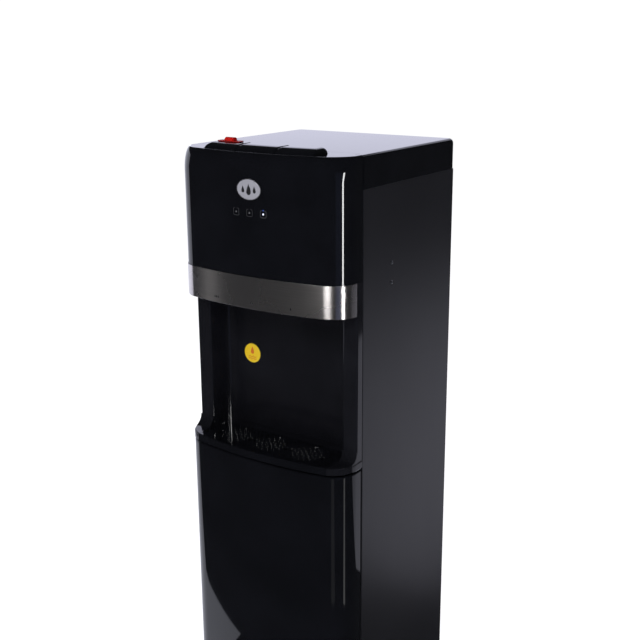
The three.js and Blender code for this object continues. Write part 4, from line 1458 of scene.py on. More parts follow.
@dataclass(frozen=True)
class Alcove:
    """The tap bay in one glossy moulding: pillars, back wall, ceiling, fascia and the tray's collar."""

    wall: float = 2.6
    pillar_front: float = -15.0
    pillar_x: float = 128.0
    back: float = 31.0
    half: float = 125.0
    corner: float = 15.0
    flare: float = 16.0
    tray_half: float = 124.7
    tray_back: float = 11.0
    fascia_inset: float = 1.3
    label: Flat = (-78.0, 698.0)  # x and z of its middle

    def side(self, t: float) -> list[Flat]:
        """The right half of the wall seen from above.

        Args:
            t: how far the line is moved back into the wall.

        Returns:
            The points, from the outer edge to the middle.
        """
        outer = FRONT.half - 1 - t
        corners = [(outer, -0.3), (outer, self.pillar_front + t), (self.pillar_x + t, self.pillar_front + t)]
        foot = (self.half + t, self.back - self.corner)
        rounds = round_corners([*corners, foot], [0, 3.4 - t, 4.6 - t, 0], 8)
        turn = arc((self.half - self.corner, self.back - self.corner), self.corner + t, 0, QUARTER, 12)
        return [*rounds, *turn[1:]]

    def walls(self) -> bpy.types.Object:
        """The pillars and the back wall."""
        front, rear = self.side(0), self.side(self.wall)
        near = [*front, *[(-x, y) for x, y in reversed(front)]]
        far = [*rear, *[(-x, y) for x, y in reversed(rear)]]
        plan = [*near, *reversed(far)]
        return Shape().prism(plan, Z.collar_top - 2, Z.band_bottom + 4).make("alcove_moulding")

    def flares(self) -> Iterable[bpy.types.Object]:
        """The concave feet of the two pillars.

        Yields:
            The right foot, then the left one.
        """
        near, rear = self.pillar_front - self.flare, self.pillar_front + 2
        low, high = Z.collar_top - 2, Z.collar_top + self.flare
        curve = arc((near, high), self.flare, -QUARTER, 0, 12)
        outline = [(rear, low), (near, low), *curve, (rear, high)]
        for x0, x1 in ((self.pillar_x, FRONT.half), (-FRONT.half, -self.pillar_x)):
            block = Shape().along_x(outline, x0, x1).make("flare")
            within = Shape().prism(FRONT.outline(0.6, 5), Z.collar_bottom, Z.collar_top + 40).make("within")
            yield work(block, within, Join.COMMON)

    def fascia(self) -> bpy.types.Object:
        """The wall behind the band, with the ceiling and its tap holes.

        Returns:
            The part, to be joined to the moulding.
        """
        low, ceiling = Z.band_bottom + 1, Z.band_bottom + 4
        outside = Shape().prism(FRONT.outline(self.fascia_inset, -0.3), low, Z.band_top - 0.3).make("fascia")
        plan = FRONT.outline(self.fascia_inset + self.wall, 5)
        work(outside, Shape().prism(plan, ceiling, Z.band_top + 5).make("inside"), Join.CUT)
        rear = Shape().slab((-self.half + 4, self.half - 4), (-2, self.back + 1), (low, ceiling))
        work(outside, rear.make("rear"), Join.ADD)
        for x in TAPS:
            hole = Shape().turned([(8, 0), (8, 15)], (x, TAP_Y, Z.band_bottom - 5)).make("hole")
            work(outside, hole, Join.CUT)
        return outside

    def collar(self) -> bpy.types.Object:
        """The slab round the tray, with a rounded upper edge and the bay that the tray slides into.

        Returns:
            The part, to be joined to the moulding.
        """
        rings = []
        steps, roll = 8, 2.2
        for k in range(steps + 1):
            t = k / steps * QUARTER
            z = Z.collar_top - roll * (1 - math.sin(t))
            rings.append([(x, y, z) for x, y in FRONT.outline(roll * (1 - math.cos(t)), -0.3)])
        foot = [(x, y, Z.collar_bottom) for x, y in FRONT.outline(0, -0.3)]
        slab = Shape().skin([foot, *rings]).make("collar")
        reach = self.half + 2
        rear = Shape().slab((-reach, reach), (-2, self.back + 2), (Z.collar_bottom, Z.collar_top))
        work(slab, rear.make("rear"), Join.ADD)
        half = self.tray_half + 0.6
        floor, above = Z.collar_bottom + 2.3, Z.collar_top + 5
        bay = Shape().slab((-half, half), (-80, self.tray_back + 0.3), (floor, above)).make("bay")
        work(slab, bay, Join.CUT)
        notch = Shape().slab((-half, half), (-80, -30), (Z.collar_bottom - 5, above)).make("notch")
        keep = Shape().prism(FRONT.outline(3.4, 5), Z.collar_bottom - 10, Z.collar_top + 10).make("keep")
        return work(slab, work(notch, keep, Join.CUT), Join.CUT)

    def build(self) -> bpy.types.Object:
        """Joins and dresses the moulding, and adds the round yellow label on the back wall.

        Returns:
            The moulding.
        """
        moulding = self.walls()
        for part in (*self.flares(), self.fascia(), self.collar()):
            work(moulding, part, Join.ADD)
        dress(moulding, Finishes.alcove_black, "cabinet", "alcove_housing", edge=Edge(0.6, steps=3))
        (x, z), y = self.label, self.back
        label = Shape().turned([(16.2, -0.2), (16.2, 0.12), (16.0, 0.2)], (x, y, z), Vector((0, -1, 0)), 64)
        disc = dress(label.make("round_label"), Finishes.sticker_yellow, "cabinet", edge=None)
        mark = Shape()
        outlines = [[(x + du, z + 5 + dv) for du, dv in drop(13.0)]]
        for level in (-5.5, -9.0):
            wave = [(x + u, z + level + math.sin(u * 0.9)) for u in range(-8, 9)]
            outlines.append([*wave, *[(u, v - 1.1) for u, v in reversed(wave)]])
        for outline in outlines:
            mark.skin([[(px, y - depth, pz) for px, pz in outline] for depth in (0.1, 0.26)])
        mark = dress(mark.make("round_label_mark"), Finishes.sticker_orange, "cabinet", edge=None)
        mark.visible_glossy = disc.visible_glossy = False
        return moulding


@dataclass(frozen=True)
class Nozzles:
    """The three spouts that hang from the alcove's ceiling."""

    foot: float = 797.0

    def build(self) -> None:
        """Builds and dresses the spouts."""
        outer = [(5.4, 0), (6.0, 0.6), (6.4, 1.4), (7.0, 2.6), (7.0, 13), (7.3, 18), (7.6, 24.7)]
        inner = [(4.5, 24.7), (4.5, 1.0), (4.9, 0.2)]
        for name, x in zip(("hot", "normal", "cold"), TAPS):
            rings = []
            for radius, height in [*outer, *inner]:
                rings.append([(x + u, TAP_Y + v, self.foot + height) for u, v in circle(radius, 36)])
            spout = Shape().skin(rings, ends=False).make(f"{name}_spout")
            dress(spout, Finishes.textured, "cabinet", f"{name}_nozzle", edge=None)


# ---------------------------------------------------------------- drip tray


@dataclass(frozen=True)
class Drip:
    """The sliding drip tray with its curved lip, and the perforated grille that lifts out of it."""

    half: float = 124.7
    back: float = 11.0
    floor: float = 566.1
    grille_z: float = 572.4
    posts_x: tuple[float, ...] = (-100.0, -35.0, 35.0, 100.0)
    posts_y: tuple[float, ...] = (-46.0, 0.0)
    roll: float = 1.5

    def basin(self, inset: float, half: float, back: float, corner: float) -> list[Flat]:
        """The tray's plan: the curved front between straight sides, with round corners at the back."""
        front = [(half * (i / 20 - 1), FRONT.front_y(half * (i / 20 - 1), inset)) for i in range(41)]
        bound = [(x, max(y, self.corner_y(x, inset))) for x, y in front]
        outline = [*bound, (half, back), (-half, back)]
        return round_corners(outline, [2.0, *([0.0] * (len(bound) - 2)), 2.0, corner, corner], 10)

    @staticmethod
    def corner_y(x: float, inset: float) -> float:
        """The y of the front outline's corner at x, which lies behind the shallow arc there."""
        beyond = abs(x) - FRONT.corner_x
        if beyond <= 0:
            return -1000.0
        return FRONT.corner_y - math.sqrt(max(0.0, (FRONT.corner - inset) ** 2 - beyond**2))

    def tray(self) -> bpy.types.Object:
        """The basin with its lip and its eight posts.

        Returns:
            The tray, not yet dressed.
        """
        plan = self.basin(2.9, self.half, self.back, 14)
        tray = Shape().prism(plan, self.floor, Z.collar_top).make("tray_basin")
        plan = self.basin(5, self.half - 1.9, self.back - 1.9, 12)
        inside = Shape().prism(plan, self.floor + 1.5, Z.collar_top + 5)
        work(tray, inside.make("inside"), Join.CUT)
        rings = [[(x, y, Z.collar_bottom - 0.3) for x, y in FRONT.outline(0, 0)]]
        steps = 6
        for k in range(steps + 1):
            t = k / steps * QUARTER
            z = Z.collar_top + 0.4 - self.roll * (1 - math.sin(t))
            rings.append([(x, y, z) for x, y in FRONT.outline(self.roll * (1 - math.cos(t)), 0)])
        lip = Shape().skin(rings).make("lip")
        keep = Shape().slab((-self.half, self.half), (-90, 20), (500, 640)).make("keep")
        work(lip, keep, Join.COMMON)
        rear = Shape().prism(FRONT.outline(3.0, 5), Z.collar_bottom - 5, Z.collar_top + 5).make("rear")
        work(tray, work(lip, rear, Join.CUT), Join.ADD)
        for x in self.posts_x:
            for y in self.posts_y:
                post = Shape().slab((x - 3, x + 3), (y - 2, y + 2), (self.floor + 1, self.grille_z - 0.3))
                work(tray, post.make("post"), Join.ADD)
        return tray

    def build(self) -> tuple[bpy.types.Object, bpy.types.Object]:
        """Builds and dresses the tray and the grille.

        Returns:
            The tray and the grille.
        """
        tray = dress(self.tray(), Finishes.gloss_black, "drip_tray", "drip_tray", edge=Edge(0.5, steps=3))
        plan = self.basin(5.4, self.half - 2.3, self.back - 2.3, 12)
        grille = Shape().prism(plan, self.grille_z, self.grille_z + 2).make("drip_grille_plate")
        rings = ((8.5, 8), (15.5, 12), (23.0, 16))
        drills = Holes.rosettes([(x, -27.0, self.grille_z + 1) for x in TAPS], rings, 1.35)
        work(grille, drills, Join.CUT)
        return tray, dress(grille, Finishes.gloss_black, "drip_grille", "drip_grille", edge=None)


# ---------------------------------------------------------------- door


@dataclass(frozen=True)
class Door:
    """The bulged door over the bottle bay, its frame, its seal and its two hinges."""

    inset: float = 0.5
    rear: float = -4.0
    wall: float = 3.0
    pivot: Flat = (146.0, -14.0)
    roll: float = 3.0
    steps: int = 6

    def skin(self, inset: float, back: float, trim: float) -> Shape:
        """The door's body, solid, with its upper and lower edges rolled.

        Args:
            inset: how far inside the cabinet's outline.
            back: the y of the back.
            trim: how far short of the real top and bottom.

        Returns:
            The closed form.
        """
        rings = []
        rising = range(self.steps + 1)
        for end, base, turns in (
            (-1, Z.door_bottom + trim, reversed(rising)),
            (1, Z.door_top - trim, rising),
        ):
            for k in turns:
                t = k / self.steps * QUARTER
                z = base - end * self.roll * (1 - math.sin(t))
                plan = FRONT.outline(inset + self.roll * (1 - math.cos(t)), back)
                rings.append([(x, y, z) for x, y in plan])
        return Shape().skin(rings)

    def panel(self) -> bpy.types.Object:
        """The gloss outer panel, bored for the hinge pins."""
        door = self.skin(self.inset, self.rear, 0).make("door_front")
        work(door, self.skin(self.inset + self.wall, 5, self.wall).make("inside"), Join.CUT)
        bore = Shape().turned([(3.3, 0), (3.3, 700)], (*self.pivot, 10)).make("bore")
        work(door, bore, Join.CUT)
        return dress(door, Finishes.gloss_black, "door", "door_panel", edge=Edge(0.4))

    def frame(self) -> None:
        """The frame behind the panel, with its seal and its screws."""
        half, z0, z1 = 151.2, Z.door_bottom + 3.3, Z.door_top - 3.3
        y0, y1 = -9.0, -4.3

        def loop(reach: float, margin: float, radius: float) -> list[Flat]:
            """A rounded upright rectangle about the frame's middle, as x and z."""
            low, high = z0 + margin, z1 - margin
            corners = [(-reach, low), (reach, low), (reach, high), (-reach, high)]
            return round_corners(corners, [radius] * 4, 10)

        ring = Shape().slab((-half, half), (y0, y1), (z0, z1)).make("door_liner")
        hole = [[(x, y, z) for x, z in loop(128, 22, 18)] for y in (y0 - 5, y1 + 5)]
        work(ring, Shape().skin(hole).make("hole"), Join.CUT)
        dress(ring, Finishes.textured, "door", "door_frame", edge=Edge(0.8, steps=3))
        path = [Vector((x, y1 + 1.5, z)) for x, z in loop(136, 9, 14)]
        seal = Shape().tube(path, 2.0, 12, loop=True).make("door_seal")
        dress(seal, Finishes.rubber, "door", edge=None)
        heights = (z0 + 30, 297.0, z1 - 30)
        places = [((x, y1 + 0.2, z), (0, 1, 0)) for x in (-146.0, 132.0) for z in heights]
        dress(screws("door_screws", places, 2.8), Finishes.screw_zinc, "door", edge=None)

    def hinges(self) -> None:
        """The two brackets with their pins."""
        spots = {
            "upper": (Z.door_top + 0.5, Z.door_top - 8, Z.door_top + 1),
            "lower": (Z.plinth_top + 0.3, Z.plinth_top + 1, Z.door_bottom + 8),
        }
        px, py = self.pivot
        for place, (z, low, high) in spots.items():
            plan = round_corners([(138, py - 6), (153, py - 6), (153, -0.4), (138, -0.4)], [5, 5, 0, 0], 8)
            plate = Shape().prism(plan, z, z + 2).make(f"hinge_{place}")
            pin = Shape().turned([(2.5, low), (3.0, low + 0.5), (3.0, high)], (px, py, 0)).make("pin")
            work(plate, pin, Join.ADD)
            dress(plate, Finishes.galvanised, "cabinet", f"door_hinge_{place}", edge=Edge(0.3))

    def build(self) -> bpy.types.Object:
        """Builds and dresses the door's pieces.

        Returns:
            The door's panel.
        """
        panel = self.panel()
        self.frame()
        self.hinges()
        return panel


# ---------------------------------------------------------------- cabinet


@dataclass(frozen=True)
class Cabinet:
    """The steel side and rear panels, the plinth and the feet."""

    panel_x: float = 154.4
    flange: float = 12.0
    bend: float = 1.8
    sheet: float = 1.0
    dimples: tuple[float, ...] = (868.8, 837.9)
    dimple_y: float = 84.0
    bottle_y: float = 131.0
    feet_x: float = 128.0
    feet_y: Flat = (-8.0, 252.0)

    def side(self, sign: int) -> None:
        """A side panel: one sheet with rounded bends, and two dimples for screws near the top.

        Args:
            sign: -1 for the left one, 1 for the right one.
        """
        name = "side_panel_left" if sign < 0 else "side_panel_right"
        x0, x1, tip = self.panel_x, self.panel_x - self.sheet, self.panel_x - self.flange
        outer = [(tip, 0), (x0, 0), (x0, Z.back), (tip, Z.back)]
        inner = [(tip, Z.back - self.sheet), (x1, Z.back - self.sheet), (x1, self.sheet), (tip, self.sheet)]
        radii = [0, self.bend, self.bend, 0, 0, self.bend - self.sheet, self.bend - self.sheet, 0]
        plan = round_corners([*outer, *inner], radii, 6)
        shape = Shape().prism([(sign * x, y) for x, y in plan], Z.plinth_top + 0.3, Z.skirt - 0.3)
        panel = shape.make(f"{name}_sheet")
        profile = [(1.2, -2), (1.2, 0.4), (5.4, 0.9), (6.6, 3)]
        for z in self.dimples:
            cone = Shape().turned(profile, (sign * (x0 - 0.9), self.dimple_y, z), Vector((sign, 0, 0)))
            work(panel, cone.make("dimple"), Join.CUT)
        dress(panel, Finishes.side_coat, "cabinet", name, edge=Edge(0.25))

    def rear(self) -> None:
        """The galvanised rear panel with its vents and the bracket under the cold tank."""
        half, y, z1 = 153.1, REAR_Y, Z.skirt - 4
        panel = Shape().slab((-half, half), (y, y + 1), (Z.plinth_top + 0.3, z1)).make("rear_sheet")
        window = Shape().slab((-113, -47), (y - 5, y + 5), (632, 668)).make("window")
        work(panel, window, Join.CUT)
        for x, z in (DRAIN, GLAND):
            hole = Shape().turned([(8, -5), (8, 5)], (x, y, z), Vector((0, 1, 0)), 40).make("hole")
            work(panel, hole, Join.CUT)
        for corner in ((30.0, y + 0.5, 620.0), (-60.0, y + 0.5, 100.0)):
            work(panel, Holes.slots(6, 8, (24.0, 9.0), (17.0, 6.0, 3.4), corner), Join.CUT)
        bracket = Shape().slab((0, 110), (165, y + 0.5), (767.7, 769.7)).make("bracket")
        work(panel, bracket, Join.ADD)
        dress(panel, Finishes.galvanised, "cabinet", "rear_panel", edge=Edge(0.2, steps=1))

    def foot(self) -> None:
        """The plinth with its bottle pad and ribs, and the four rubber feet."""
        rings = []
        inset, roll = 0.5, 1.5
        for t in (0.0, QUARTER / 2, QUARTER):
            z = Z.foot + roll * (1 - math.cos(t))
            rings.append([(x, y, z) for x, y in FRONT.outline(inset + roll * (1 - math.sin(t)), Z.back)])
        rings.append([(x, y, Z.plinth_top) for x, y in FRONT.outline(inset, Z.back)])
        plinth = Shape().skin(rings).make("plinth_slab")
        pad = [(125.0, Z.plinth_top - 1), (125.0, Z.plinth_top + 0.9), (124.4, Z.plinth_top + 1.5)]
        work(plinth, Shape().turned(pad, (0, self.bottle_y, 0), steps=96).make("pad"), Join.ADD)
        loops = []
        for radius, rise in ((108.0, 3.0), (108.0, 0.9), (104.0, 0.9), (104.0, 3.0)):
            around = circle(radius, 96)
            loops.append([(u, self.bottle_y + v, Z.plinth_top + rise) for u, v in around])
        work(plinth, Shape().skin(loops, ends=False).make("groove"), Join.CUT)
        dress(plinth, Finishes.textured, "cabinet", "base_plinth", edge=Edge(0.5))
        profile = [(12.2, 0), (13.4, 0.5), (15, 2.6), (15, 3.6), (13.6, 5.2), (13.0, 11.7)]
        for row, y in (("front", self.feet_y[0]), ("rear", self.feet_y[1])):
            for side, x in (("left", -self.feet_x), ("right", self.feet_x)):
                foot = Shape().turned(profile, (x, y, 0), steps=40).make(f"rubber_foot_{row}_{side}")
                dress(foot, Finishes.rubber, "cabinet", f"foot_{row}_{side}", edge=Edge(0.3))

    def fasteners(self) -> None:
        """Every screw on the outside of the cabinet."""
        places: list[tuple[Point, Point]] = []
        for sign in (-1, 1):
            x = sign * (self.panel_x - 0.75)
            places += [((x, self.dimple_y, z), (sign, 0, 0)) for z in self.dimples]
            places += [((sign * 148.0, REAR_Y + 1, z), (0, 1, 0)) for z in (60.0, 300.0, 540.0, 760.0, 960.0)]
        places += [((x, REAR_Y + 1, 975.0), (0, 1, 0)) for x in (-75.0, 0.0, 75.0)]
        places += [((x, REAR_Y + 3.6, 650.0), (0, 1, 0)) for x in (-115.2, -44.8)]
        made = screws("cabinet_screws", places, 2.9)
        dress(made, Finishes.screw_zinc, "cabinet", edge=None)

    def build(self) -> None:
        """Builds and dresses the sheet-metal work."""
        self.side(-1)
        self.side(1)
        self.rear()
        self.foot()
        self.fasteners()


# ---------------------------------------------------------------- rear fittings


@dataclass(frozen=True)
class Condenser:
    """The black tube-and-wire condenser on the back."""

    half: float = 110.0
    step: float = 48.0
    runs: int = 6
    y: float = 272.0
    low: float = 706.0
    radius: float = 2.5
    wires: int = 27

    def path(self) -> list[Vector]:
        """The tube's centre line: level runs joined by half-round bends.

        Returns:
            The points along it.
        """
        points = []
        reach = self.step / 2
        for i in range(self.runs):
            z, side = self.low + i * self.step, -1 if i % 2 else 1
            points += [Vector((-side * self.half, self.y, z)), Vector((side * self.half, self.y, z))]
            if i + 1 < self.runs:
                bend = arc((self.half, z + reach), reach, -QUARTER, QUARTER, 12)
                points += [Vector((side * x, self.y, height)) for x, height in bend[1:-1]]
        return points

    def build(self) -> None:
        """Builds and dresses the tube, its wires and the stays."""
        tube = Shape().tube(self.path(), self.radius, 14).make("condenser_tube")
        dress(tube, Finishes.enamel, "cabinet", "condenser", edge=None)
        top = self.low + (self.runs - 1) * self.step
        pitch = 2 * self.half / (self.wires - 1)
        kit = Kit("condenser_wires", {"Pitch": pitch * MM, "Wire radius": 0.75 * MM, "Count": self.wires})
        inputs = kit.inputs
        wire = kit.add(
            "GeometryNodeMeshCylinder",
            {"fill_type": "NGON"},
            Vertices=8,
            Radius=inputs["Wire radius"],
            Depth=(top - self.low + 20) * MM,
        )
        offset = kit.add("ShaderNodeCombineXYZ", X=inputs["Pitch"]).outputs[0]
        line = kit.add("GeometryNodeMeshLine", Count=inputs["Count"], Offset=offset).outputs[0]
        row = kit.scatter(line, wire.outputs["Mesh"])
        rows = []
        for y in (self.y - self.radius - 0.6, self.y + self.radius + 0.6):
            rows.append(kit.moved(row, (-self.half * MM, y * MM + Shape.seam, (self.low + top) / 2 * MM)))
        wires = kit.run(kit.joined(*rows), "condenser_wires", Finishes.enamel)
        dress(wires, Finishes.enamel, "cabinet", edge=None)
        stays = Shape()
        for x in (-90.0, 90.0):
            stays.slab((x - 4, x + 4), (REAR_Y + 1.4, self.y), (self.low - 6, top + 6))
        dress(stays.make("condenser_stays"), Finishes.enamel, "cabinet", edge=Edge(0.6))


@dataclass(frozen=True)
class RearFittings:
    """The switches, the drain and the cord gland."""

    pivot: Flat = (264.0, 650.0)
    switch_x: tuple[float, float] = (-95.0, -65.0)

    def plate(self) -> None:
        """The switch plate with its two pockets."""
        y, z = self.pivot
        plate = Shape().slab((-118, -42), (REAR_Y + 1.3, y + 1.6), (z - 24, z + 24)).make("switch_bezel")
        housing = Shape().slab((-112, -48), (y - 20, y + 0.5), (z - 17, z + 17)).make("housing")
        work(plate, housing, Join.ADD)
        for x in self.switch_x:
            pocket = Shape().slab((x - 7.8, x + 7.8), (y - 14, y + 10), (z - 12, z + 12)).make("pocket")
            work(plate, pocket, Join.CUT)
        dress(plate, Finishes.textured, "cabinet", "switch_plate", edge=Edge(0.5))

    def rocker(self, name: str, x: float, finish: Finish) -> None:
        """One rocker with a grooved grip on its raised half.

        Args:
            name: the name of its node and of its body.
            x: its middle.
            finish: what it is made of.
        """
        y, z = self.pivot
        side = [(-8, -9), (1.4, -11.3), (1.7, -5), (2.2, 0), (3.4, 5.5), (4.5, 10.5), (-8, 8)]
        rocker = Shape().along_x([(y + dy, z + dz) for dy, dz in side], x - 7, x + 7).make(f"{name}_rocker")
        for k in range(3):
            low = z + 4 + 1.8 * k
            groove = Shape().slab((x - 4.5, x + 4.5), (y + 2.7 + 0.4 * k, y + 9), (low, low + 0.7))
            work(rocker, groove.make("groove"), Join.CUT)
        dress(rocker, finish, name, name, edge=Edge(0.5, steps=3))

    def drain(self) -> None:
        """The ribbed cap on the drain."""
        rings = []
        ribs, count = 20, 120
        x, z = DRAIN
        foot = REAR_Y + 2
        for radius, height, deep in ((10.4, 0.0, 0), (10.7, 0.6, 0.3), (10.7, 13.6, 0.3), (9.8, 15.0, 0)):
            ring = []
            for i in range(count):
                a = math.tau * i / count
                r = radius + deep * math.cos(ribs * a)
                ring.append((x + r * math.cos(a), foot + height, z + r * math.sin(a)))
            rings.append(ring)
        cap = Shape().skin(rings).make("drain_cap_ribbed")
        bore = Shape().turned([(7.4, -4), (7.4, 9)], (x, foot, z), Vector((0, 1, 0)), 40).make("bore")
        work(cap, bore, Join.CUT)
        dress(cap, Finishes.textured, "drain_cap", "drain_cap", edge=None)

    def gland(self) -> None:
        """The rubber gland that the mains cord would leave through."""
        profile = ((7.7, -6), (7.7, 1.3), (11, 1.3), (11, 5.5), (9.4, 7.6), (8.4, 8), (4, 8), (4, -6))
        x, z = GLAND
        loops = []
        for radius, out in profile:
            loops.append([(x + u, REAR_Y + out, z + v) for u, v in circle(radius, 48)])
        gland = Shape().skin(loops, ends=False).make("gland_sleeve")
        dress(gland, Finishes.rubber, "cabinet", "cord_gland", edge=None)

    def build(self) -> None:
        """Builds and dresses the rear fittings."""
        self.plate()
        self.rocker("heating_switch", self.switch_x[0], Finishes.switch_red)
        self.rocker("cooling_switch", self.switch_x[1], Finishes.switch_green)
        self.drain()
        self.gland()
        Condenser().build()


# ---------------------------------------------------------------- inner works


@dataclass(frozen=True)
class Works:
    """The works that stay as the frame holds them: each gets its finish and smooth rounds."""

    finishes: dict[str, Finish] = field(
        default_factory=lambda: {
            "control_board": Finishes.circuit,
            "mid_shelf": Finishes.galvanised,
            "hot_push_rod": Finishes.natural,
            "normal_push_rod": Finishes.natural,
            "cold_push_rod": Finishes.natural,
            "hot_valve": Finishes.natural,
            "normal_valve": Finishes.natural,
            "cold_valve": Finishes.natural,
            "door_magnet": Finishes.rubber,
            "hot_tank": Finishes.stainless,
            "hot_tank_jacket": Finishes.foam,
            "heater_band": Finishes.galvanised,
            "cold_tank": Finishes.stainless,
            "cold_tank_jacket": Finishes.foam,
            "evaporator_coil": Finishes.copper,
            "compressor": Finishes.enamel,
            "water_pump": Finishes.textured,
            "bottle_probe": Finishes.natural,
            "cold_hose": Finishes.silicone,
            "normal_hose": Finishes.silicone,
            "hot_hose": Finishes.silicone,
            "fill_hose": Finishes.silicone,
            "suction_hose": Finishes.silicone,
            "drain_pipe": Finishes.natural,
        }
    )

    @staticmethod
    def smoothing() -> Kit:
        """A kit that welds loose triangles and shades gentle edges smooth.
        """
        kit = Kit("smooth_rounds", {"Weld distance": 0.00001, "Sharp over": 0.56})
        inputs = kit.inputs
        welded = kit.add(
            "GeometryNodeMergeByDistance", Geometry=inputs["Geometry"], Distance=inputs["Weld distance"]
        )
        angle = kit.add("GeometryNodeInputMeshEdgeAngle").outputs["Unsigned Angle"]
        shape = welded.outputs[0]
        for domain, smooth in (("EDGE", kit.math("LESS_THAN", angle, inputs["Sharp over"])), ("FACE", True)):
            shaded = kit.add(
                "GeometryNodeSetShadeSmooth", {"domain": domain}, Geometry=shape, Shade_Smooth=smooth
            )
            shape = shaded.outputs[0]
        kit.tree.links.new(shape, kit.end.inputs[0])
        return kit

    def build(self, nodes: dict[str, bpy.types.Object]) -> None:
        """Dresses every carried-over node.

        Args:
            nodes: the frame's objects by name.
        """
        kit = self.smoothing()
        for name, finish in self.finishes.items():
            node = nodes[name]
            for holder in node.material_slots:
                holder.material = Finishes.material(finish)
            modifier = node.modifiers.new("smooth rounds", "NODES")
            modifier.node_group = kit.tree
            kit.fill(modifier)
            log.info("%s keeps its shape and is dressed in %s", name, finish.name)


# ---------------------------------------------------------------- studio


class Reach(Enum):
    """What a light panel shows itself in."""

    ALL = "every surface"
    BAND = "the brushed band only"
    COVER = "the front cover and the band"
    DOOR = "the door's panel only"
    GRILLE = "the drip grille only"
    BAY = "the tap bay and what lies in it"
    SOFT = "everything but reflections"


@dataclass(frozen=True)
class Card:
    """A soft light panel, placed by its direction from the right front corner."""

    name: str
    azimuth: float  # degrees from +y towards +x
    distance: float
    height: float
    size: Flat
    radiance: float
    colour: Colour = (1.0, 1.0, 1.0)
    reach: Reach = Reach.ALL
    origin: Flat = (0.14, -0.155)


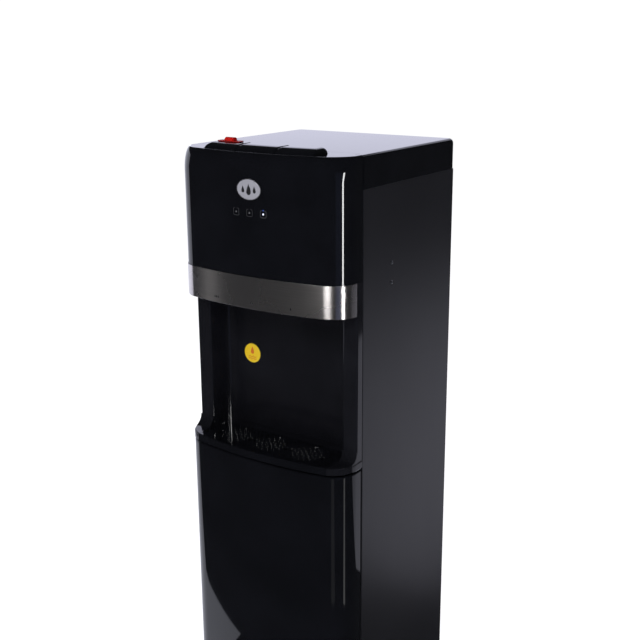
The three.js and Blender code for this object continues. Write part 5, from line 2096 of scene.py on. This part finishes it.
@dataclass(frozen=True)
class Studio:
    """The camera, the floor and the lights."""

    eye: Point = (0.90113, -1.31438, 1.20590)
    yaw: float = 0.5855
    pitch: float = 0.2654
    roll: float = -0.0028
    lens: float = 56.35
    shift: Flat = (-0.0193, -0.0224)
    middle: float = 0.8  # the height that a panel with a narrow reach is aimed at
    cards: tuple[Card, ...] = (
        Card("key", 172, 2.0, 2.3, (1.3, 0.9), 9.0, reach=Reach.SOFT),
        Card("band_key", 172, 2.0, 1.9, (0.9, 0.8), 36.0, reach=Reach.BAND),
        Card("band_fill", -150, 2.0, 0.8, (2.4, 1.6), 0.02, reach=Reach.BAND),
        Card("band_streak", -122, 2.0, 0.6, (0.10, 1.2), 0.35, reach=Reach.BAND),
        Card("grille_key", 190, 1.2, 2.6, (2.6, 1.6), 16.0, reach=Reach.GRILLE),
        Card("bay_glint", 106, 1.0, 1.09, (0.09, 0.10), 110.0, reach=Reach.BAY),
        Card("left_side", -76, 2.1, 0.69, (2.4, 1.38), 1.1, (0.84, 0.86, 1.0)),
        Card("right_strip", 106, 1.0, 0.83, (0.10, 0.56), 22.0, reach=Reach.COVER),
        Card("door_strip", 100, 0.6, 0.18, (0.07, 0.36), 1.0, reach=Reach.DOOR),
        Card("door_strip_faint", 152, 0.6, 0.18, (0.14, 0.36), 0.16, reach=Reach.DOOR),
        Card("right_glow", 124, 1.4, 0.6, (0.6, 1.2), 0.12, (0.45, 0.55, 1.0)),
    )

    def camera(self) -> None:
        """Places the camera."""
        data = bpy.data.cameras.new("camera")
        data.lens, data.sensor_width = self.lens, 36.0
        data.shift_x, data.shift_y = self.shift
        camera = bpy.data.objects.new("camera", data)
        turn = Matrix.Rotation(self.yaw, 4, "Z") @ Matrix.Rotation(QUARTER - self.pitch, 4, "X")
        camera.matrix_world = Matrix.Translation(self.eye) @ turn @ Matrix.Rotation(self.roll, 4, "Z")
        bpy.context.scene.collection.objects.link(camera)
        bpy.context.scene.camera = camera

    def lamp(self, card: Card, receivers: dict[Reach, bpy.types.Collection]) -> None:
        """Hangs one light panel.

        Args:
            card: the panel.
            receivers: what the panels of each narrow reach light.
        """
        data = bpy.data.lights.new(card.name, "AREA")
        data.shape = "RECTANGLE"
        data.size, data.size_y = card.size
        data.energy = card.radiance * math.pi * card.size[0] * card.size[1]
        data.color = card.colour
        light = bpy.data.objects.new(card.name, data)
        a = math.radians(card.azimuth)
        base = Vector((*card.origin, 0))
        place = base + Vector((card.distance * math.sin(a), card.distance * math.cos(a), card.height))
        aim = base - place
        aim.z = 0.0 if card.reach is Reach.ALL else aim.z + self.middle
        light.matrix_world = Matrix.Translation(place) @ aim.to_track_quat("-Z", "Y").to_matrix().to_4x4()
        light.visible_glossy = card.reach is not Reach.SOFT
        light.visible_diffuse = card.reach in (Reach.ALL, Reach.SOFT, Reach.BAND)
        bpy.context.scene.collection.objects.link(light)
        if card.reach in receivers:
            light.light_linking.receiver_collection = receivers[card.reach]

    @staticmethod
    def glow(name: str, colour: Colour, strength: float, diffuse: float) -> bpy.types.Material:
        """A plain stage surface that glows a little."""
        w = Wiring(name)
        w.set(Base_Color=(diffuse, diffuse, diffuse), Roughness=1.0, Specular_IOR_Level=0.0)
        w.set(Emission_Color=colour, Emission_Strength=strength)
        return w.material

    @staticmethod
    def sheet(name: str, corners: Sequence[Point], material: bpy.types.Material) -> bpy.types.Object:
        """A flat stage sheet.

        Args:
            name: the sheet's name.
            corners: its corners in metres.
            material: what it shows.

        Returns:
            The sheet.
        """
        mesh = bpy.data.meshes.new(name)
        mesh.from_pydata(corners, [], [tuple(range(len(corners)))])
        mesh.materials.append(material)
        made = bpy.data.objects.new(name, mesh)
        bpy.context.scene.collection.objects.link(made)
        return made

    def build(self, pieces: dict[Reach, Sequence[bpy.types.Object]]) -> None:
        """Builds the studio.

        Args:
            pieces: the pieces that have light panels of their own, by reach.
        """
        self.camera()
        receivers: dict[Reach, bpy.types.Collection] = {}
        for reach, members in pieces.items():
            receivers[reach] = bpy.data.collections.new(f"lit_{reach.name.lower()}")
            for piece in members:
                receivers[reach].objects.link(piece)
        for card in self.cards:
            self.lamp(card, receivers)
        far = 12.0
        corners = [(-far, -far, 0), (far, -far, 0), (far, far, 0), (-far, far, 0)]
        floor = self.sheet("floor", corners, self.glow("pale_floor", (1, 1, 1), 1.0, 0.5))
        floor.visible_glossy = False
        feet = [(x, y) for x, y, _ in corners]
        for i, (start, end) in enumerate(zip(feet, feet[1:] + feet[:1])):
            wall = [(*start, 0), (*start, far), (*end, far), (*end, 0)]
            made = self.sheet(f"wall_{i + 1}", wall, self.glow(f"wall_{i + 1}", (1, 1, 1), 1.1, 0.0))
            made.visible_glossy = made.visible_diffuse = made.visible_shadow = False
        patch = [(0.9, 2.5, 1.2), (-3.2, 2.5, 1.2), (-3.2, 2.5, 2.6), (0.9, 2.5, 2.6)]
        back = self.sheet("back_card", patch, self.glow("back_card", (0.78, 0.785, 0.95), 1.3, 0.0))
        patch = [(0.35, 0.45, 0.004), (1.5, 0.45, 0.004), (1.5, 3.4, 0.004), (0.35, 3.4, 0.004)]
        sweep = self.sheet("floor_sweep", patch, self.glow("floor_sweep", (0.86, 0.86, 1.0), 0.6, 0.0))
        patch = [(-1.5, -0.42, 0.004), (-0.3, -0.42, 0.004), (-0.3, 1.2, 0.004), (-1.5, 1.2, 0.004)]
        left = self.sheet("floor_left", patch, self.glow("floor_left", (0.86, 0.88, 1.0), 1.0, 0.0))
        for made in (back, sweep, left):
            made.visible_camera = made.visible_shadow = False
            made.visible_diffuse = made is back
        world = bpy.data.worlds.new("studio")
        world.use_nodes = True
        background = world.node_tree.nodes["Background"]
        background.inputs["Color"].default_value = (0.9, 0.93, 1.0, 1.0)
        background.inputs["Strength"].default_value = 0.03
        bpy.context.scene.world = world
        bpy.context.scene.view_settings.view_transform = "Standard"


# ---------------------------------------------------------------- the whole dispenser


def main() -> None:
    """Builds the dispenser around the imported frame."""
    logging.basicConfig(level=logging.INFO, format="%(message)s")
    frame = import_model()
    Shape.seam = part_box("side_panel_left")[0].y
    cover = Top().build()
    Badge().build()
    Indicators().build()
    band = Band().build()
    moulding = Alcove().build()
    Nozzles().build()
    tray, grille = Drip().build()
    door = Door().build()
    lit = {Reach.BAND: [band], Reach.COVER: [cover, band], Reach.DOOR: [door], Reach.GRILLE: [grille]}
    Studio().build({**lit, Reach.BAY: [moulding, tray, grille]})
    Cabinet().build()
    RearFittings().build()
    Works().build(frame["nodes"])


if __name__ == "__main__":
    main()
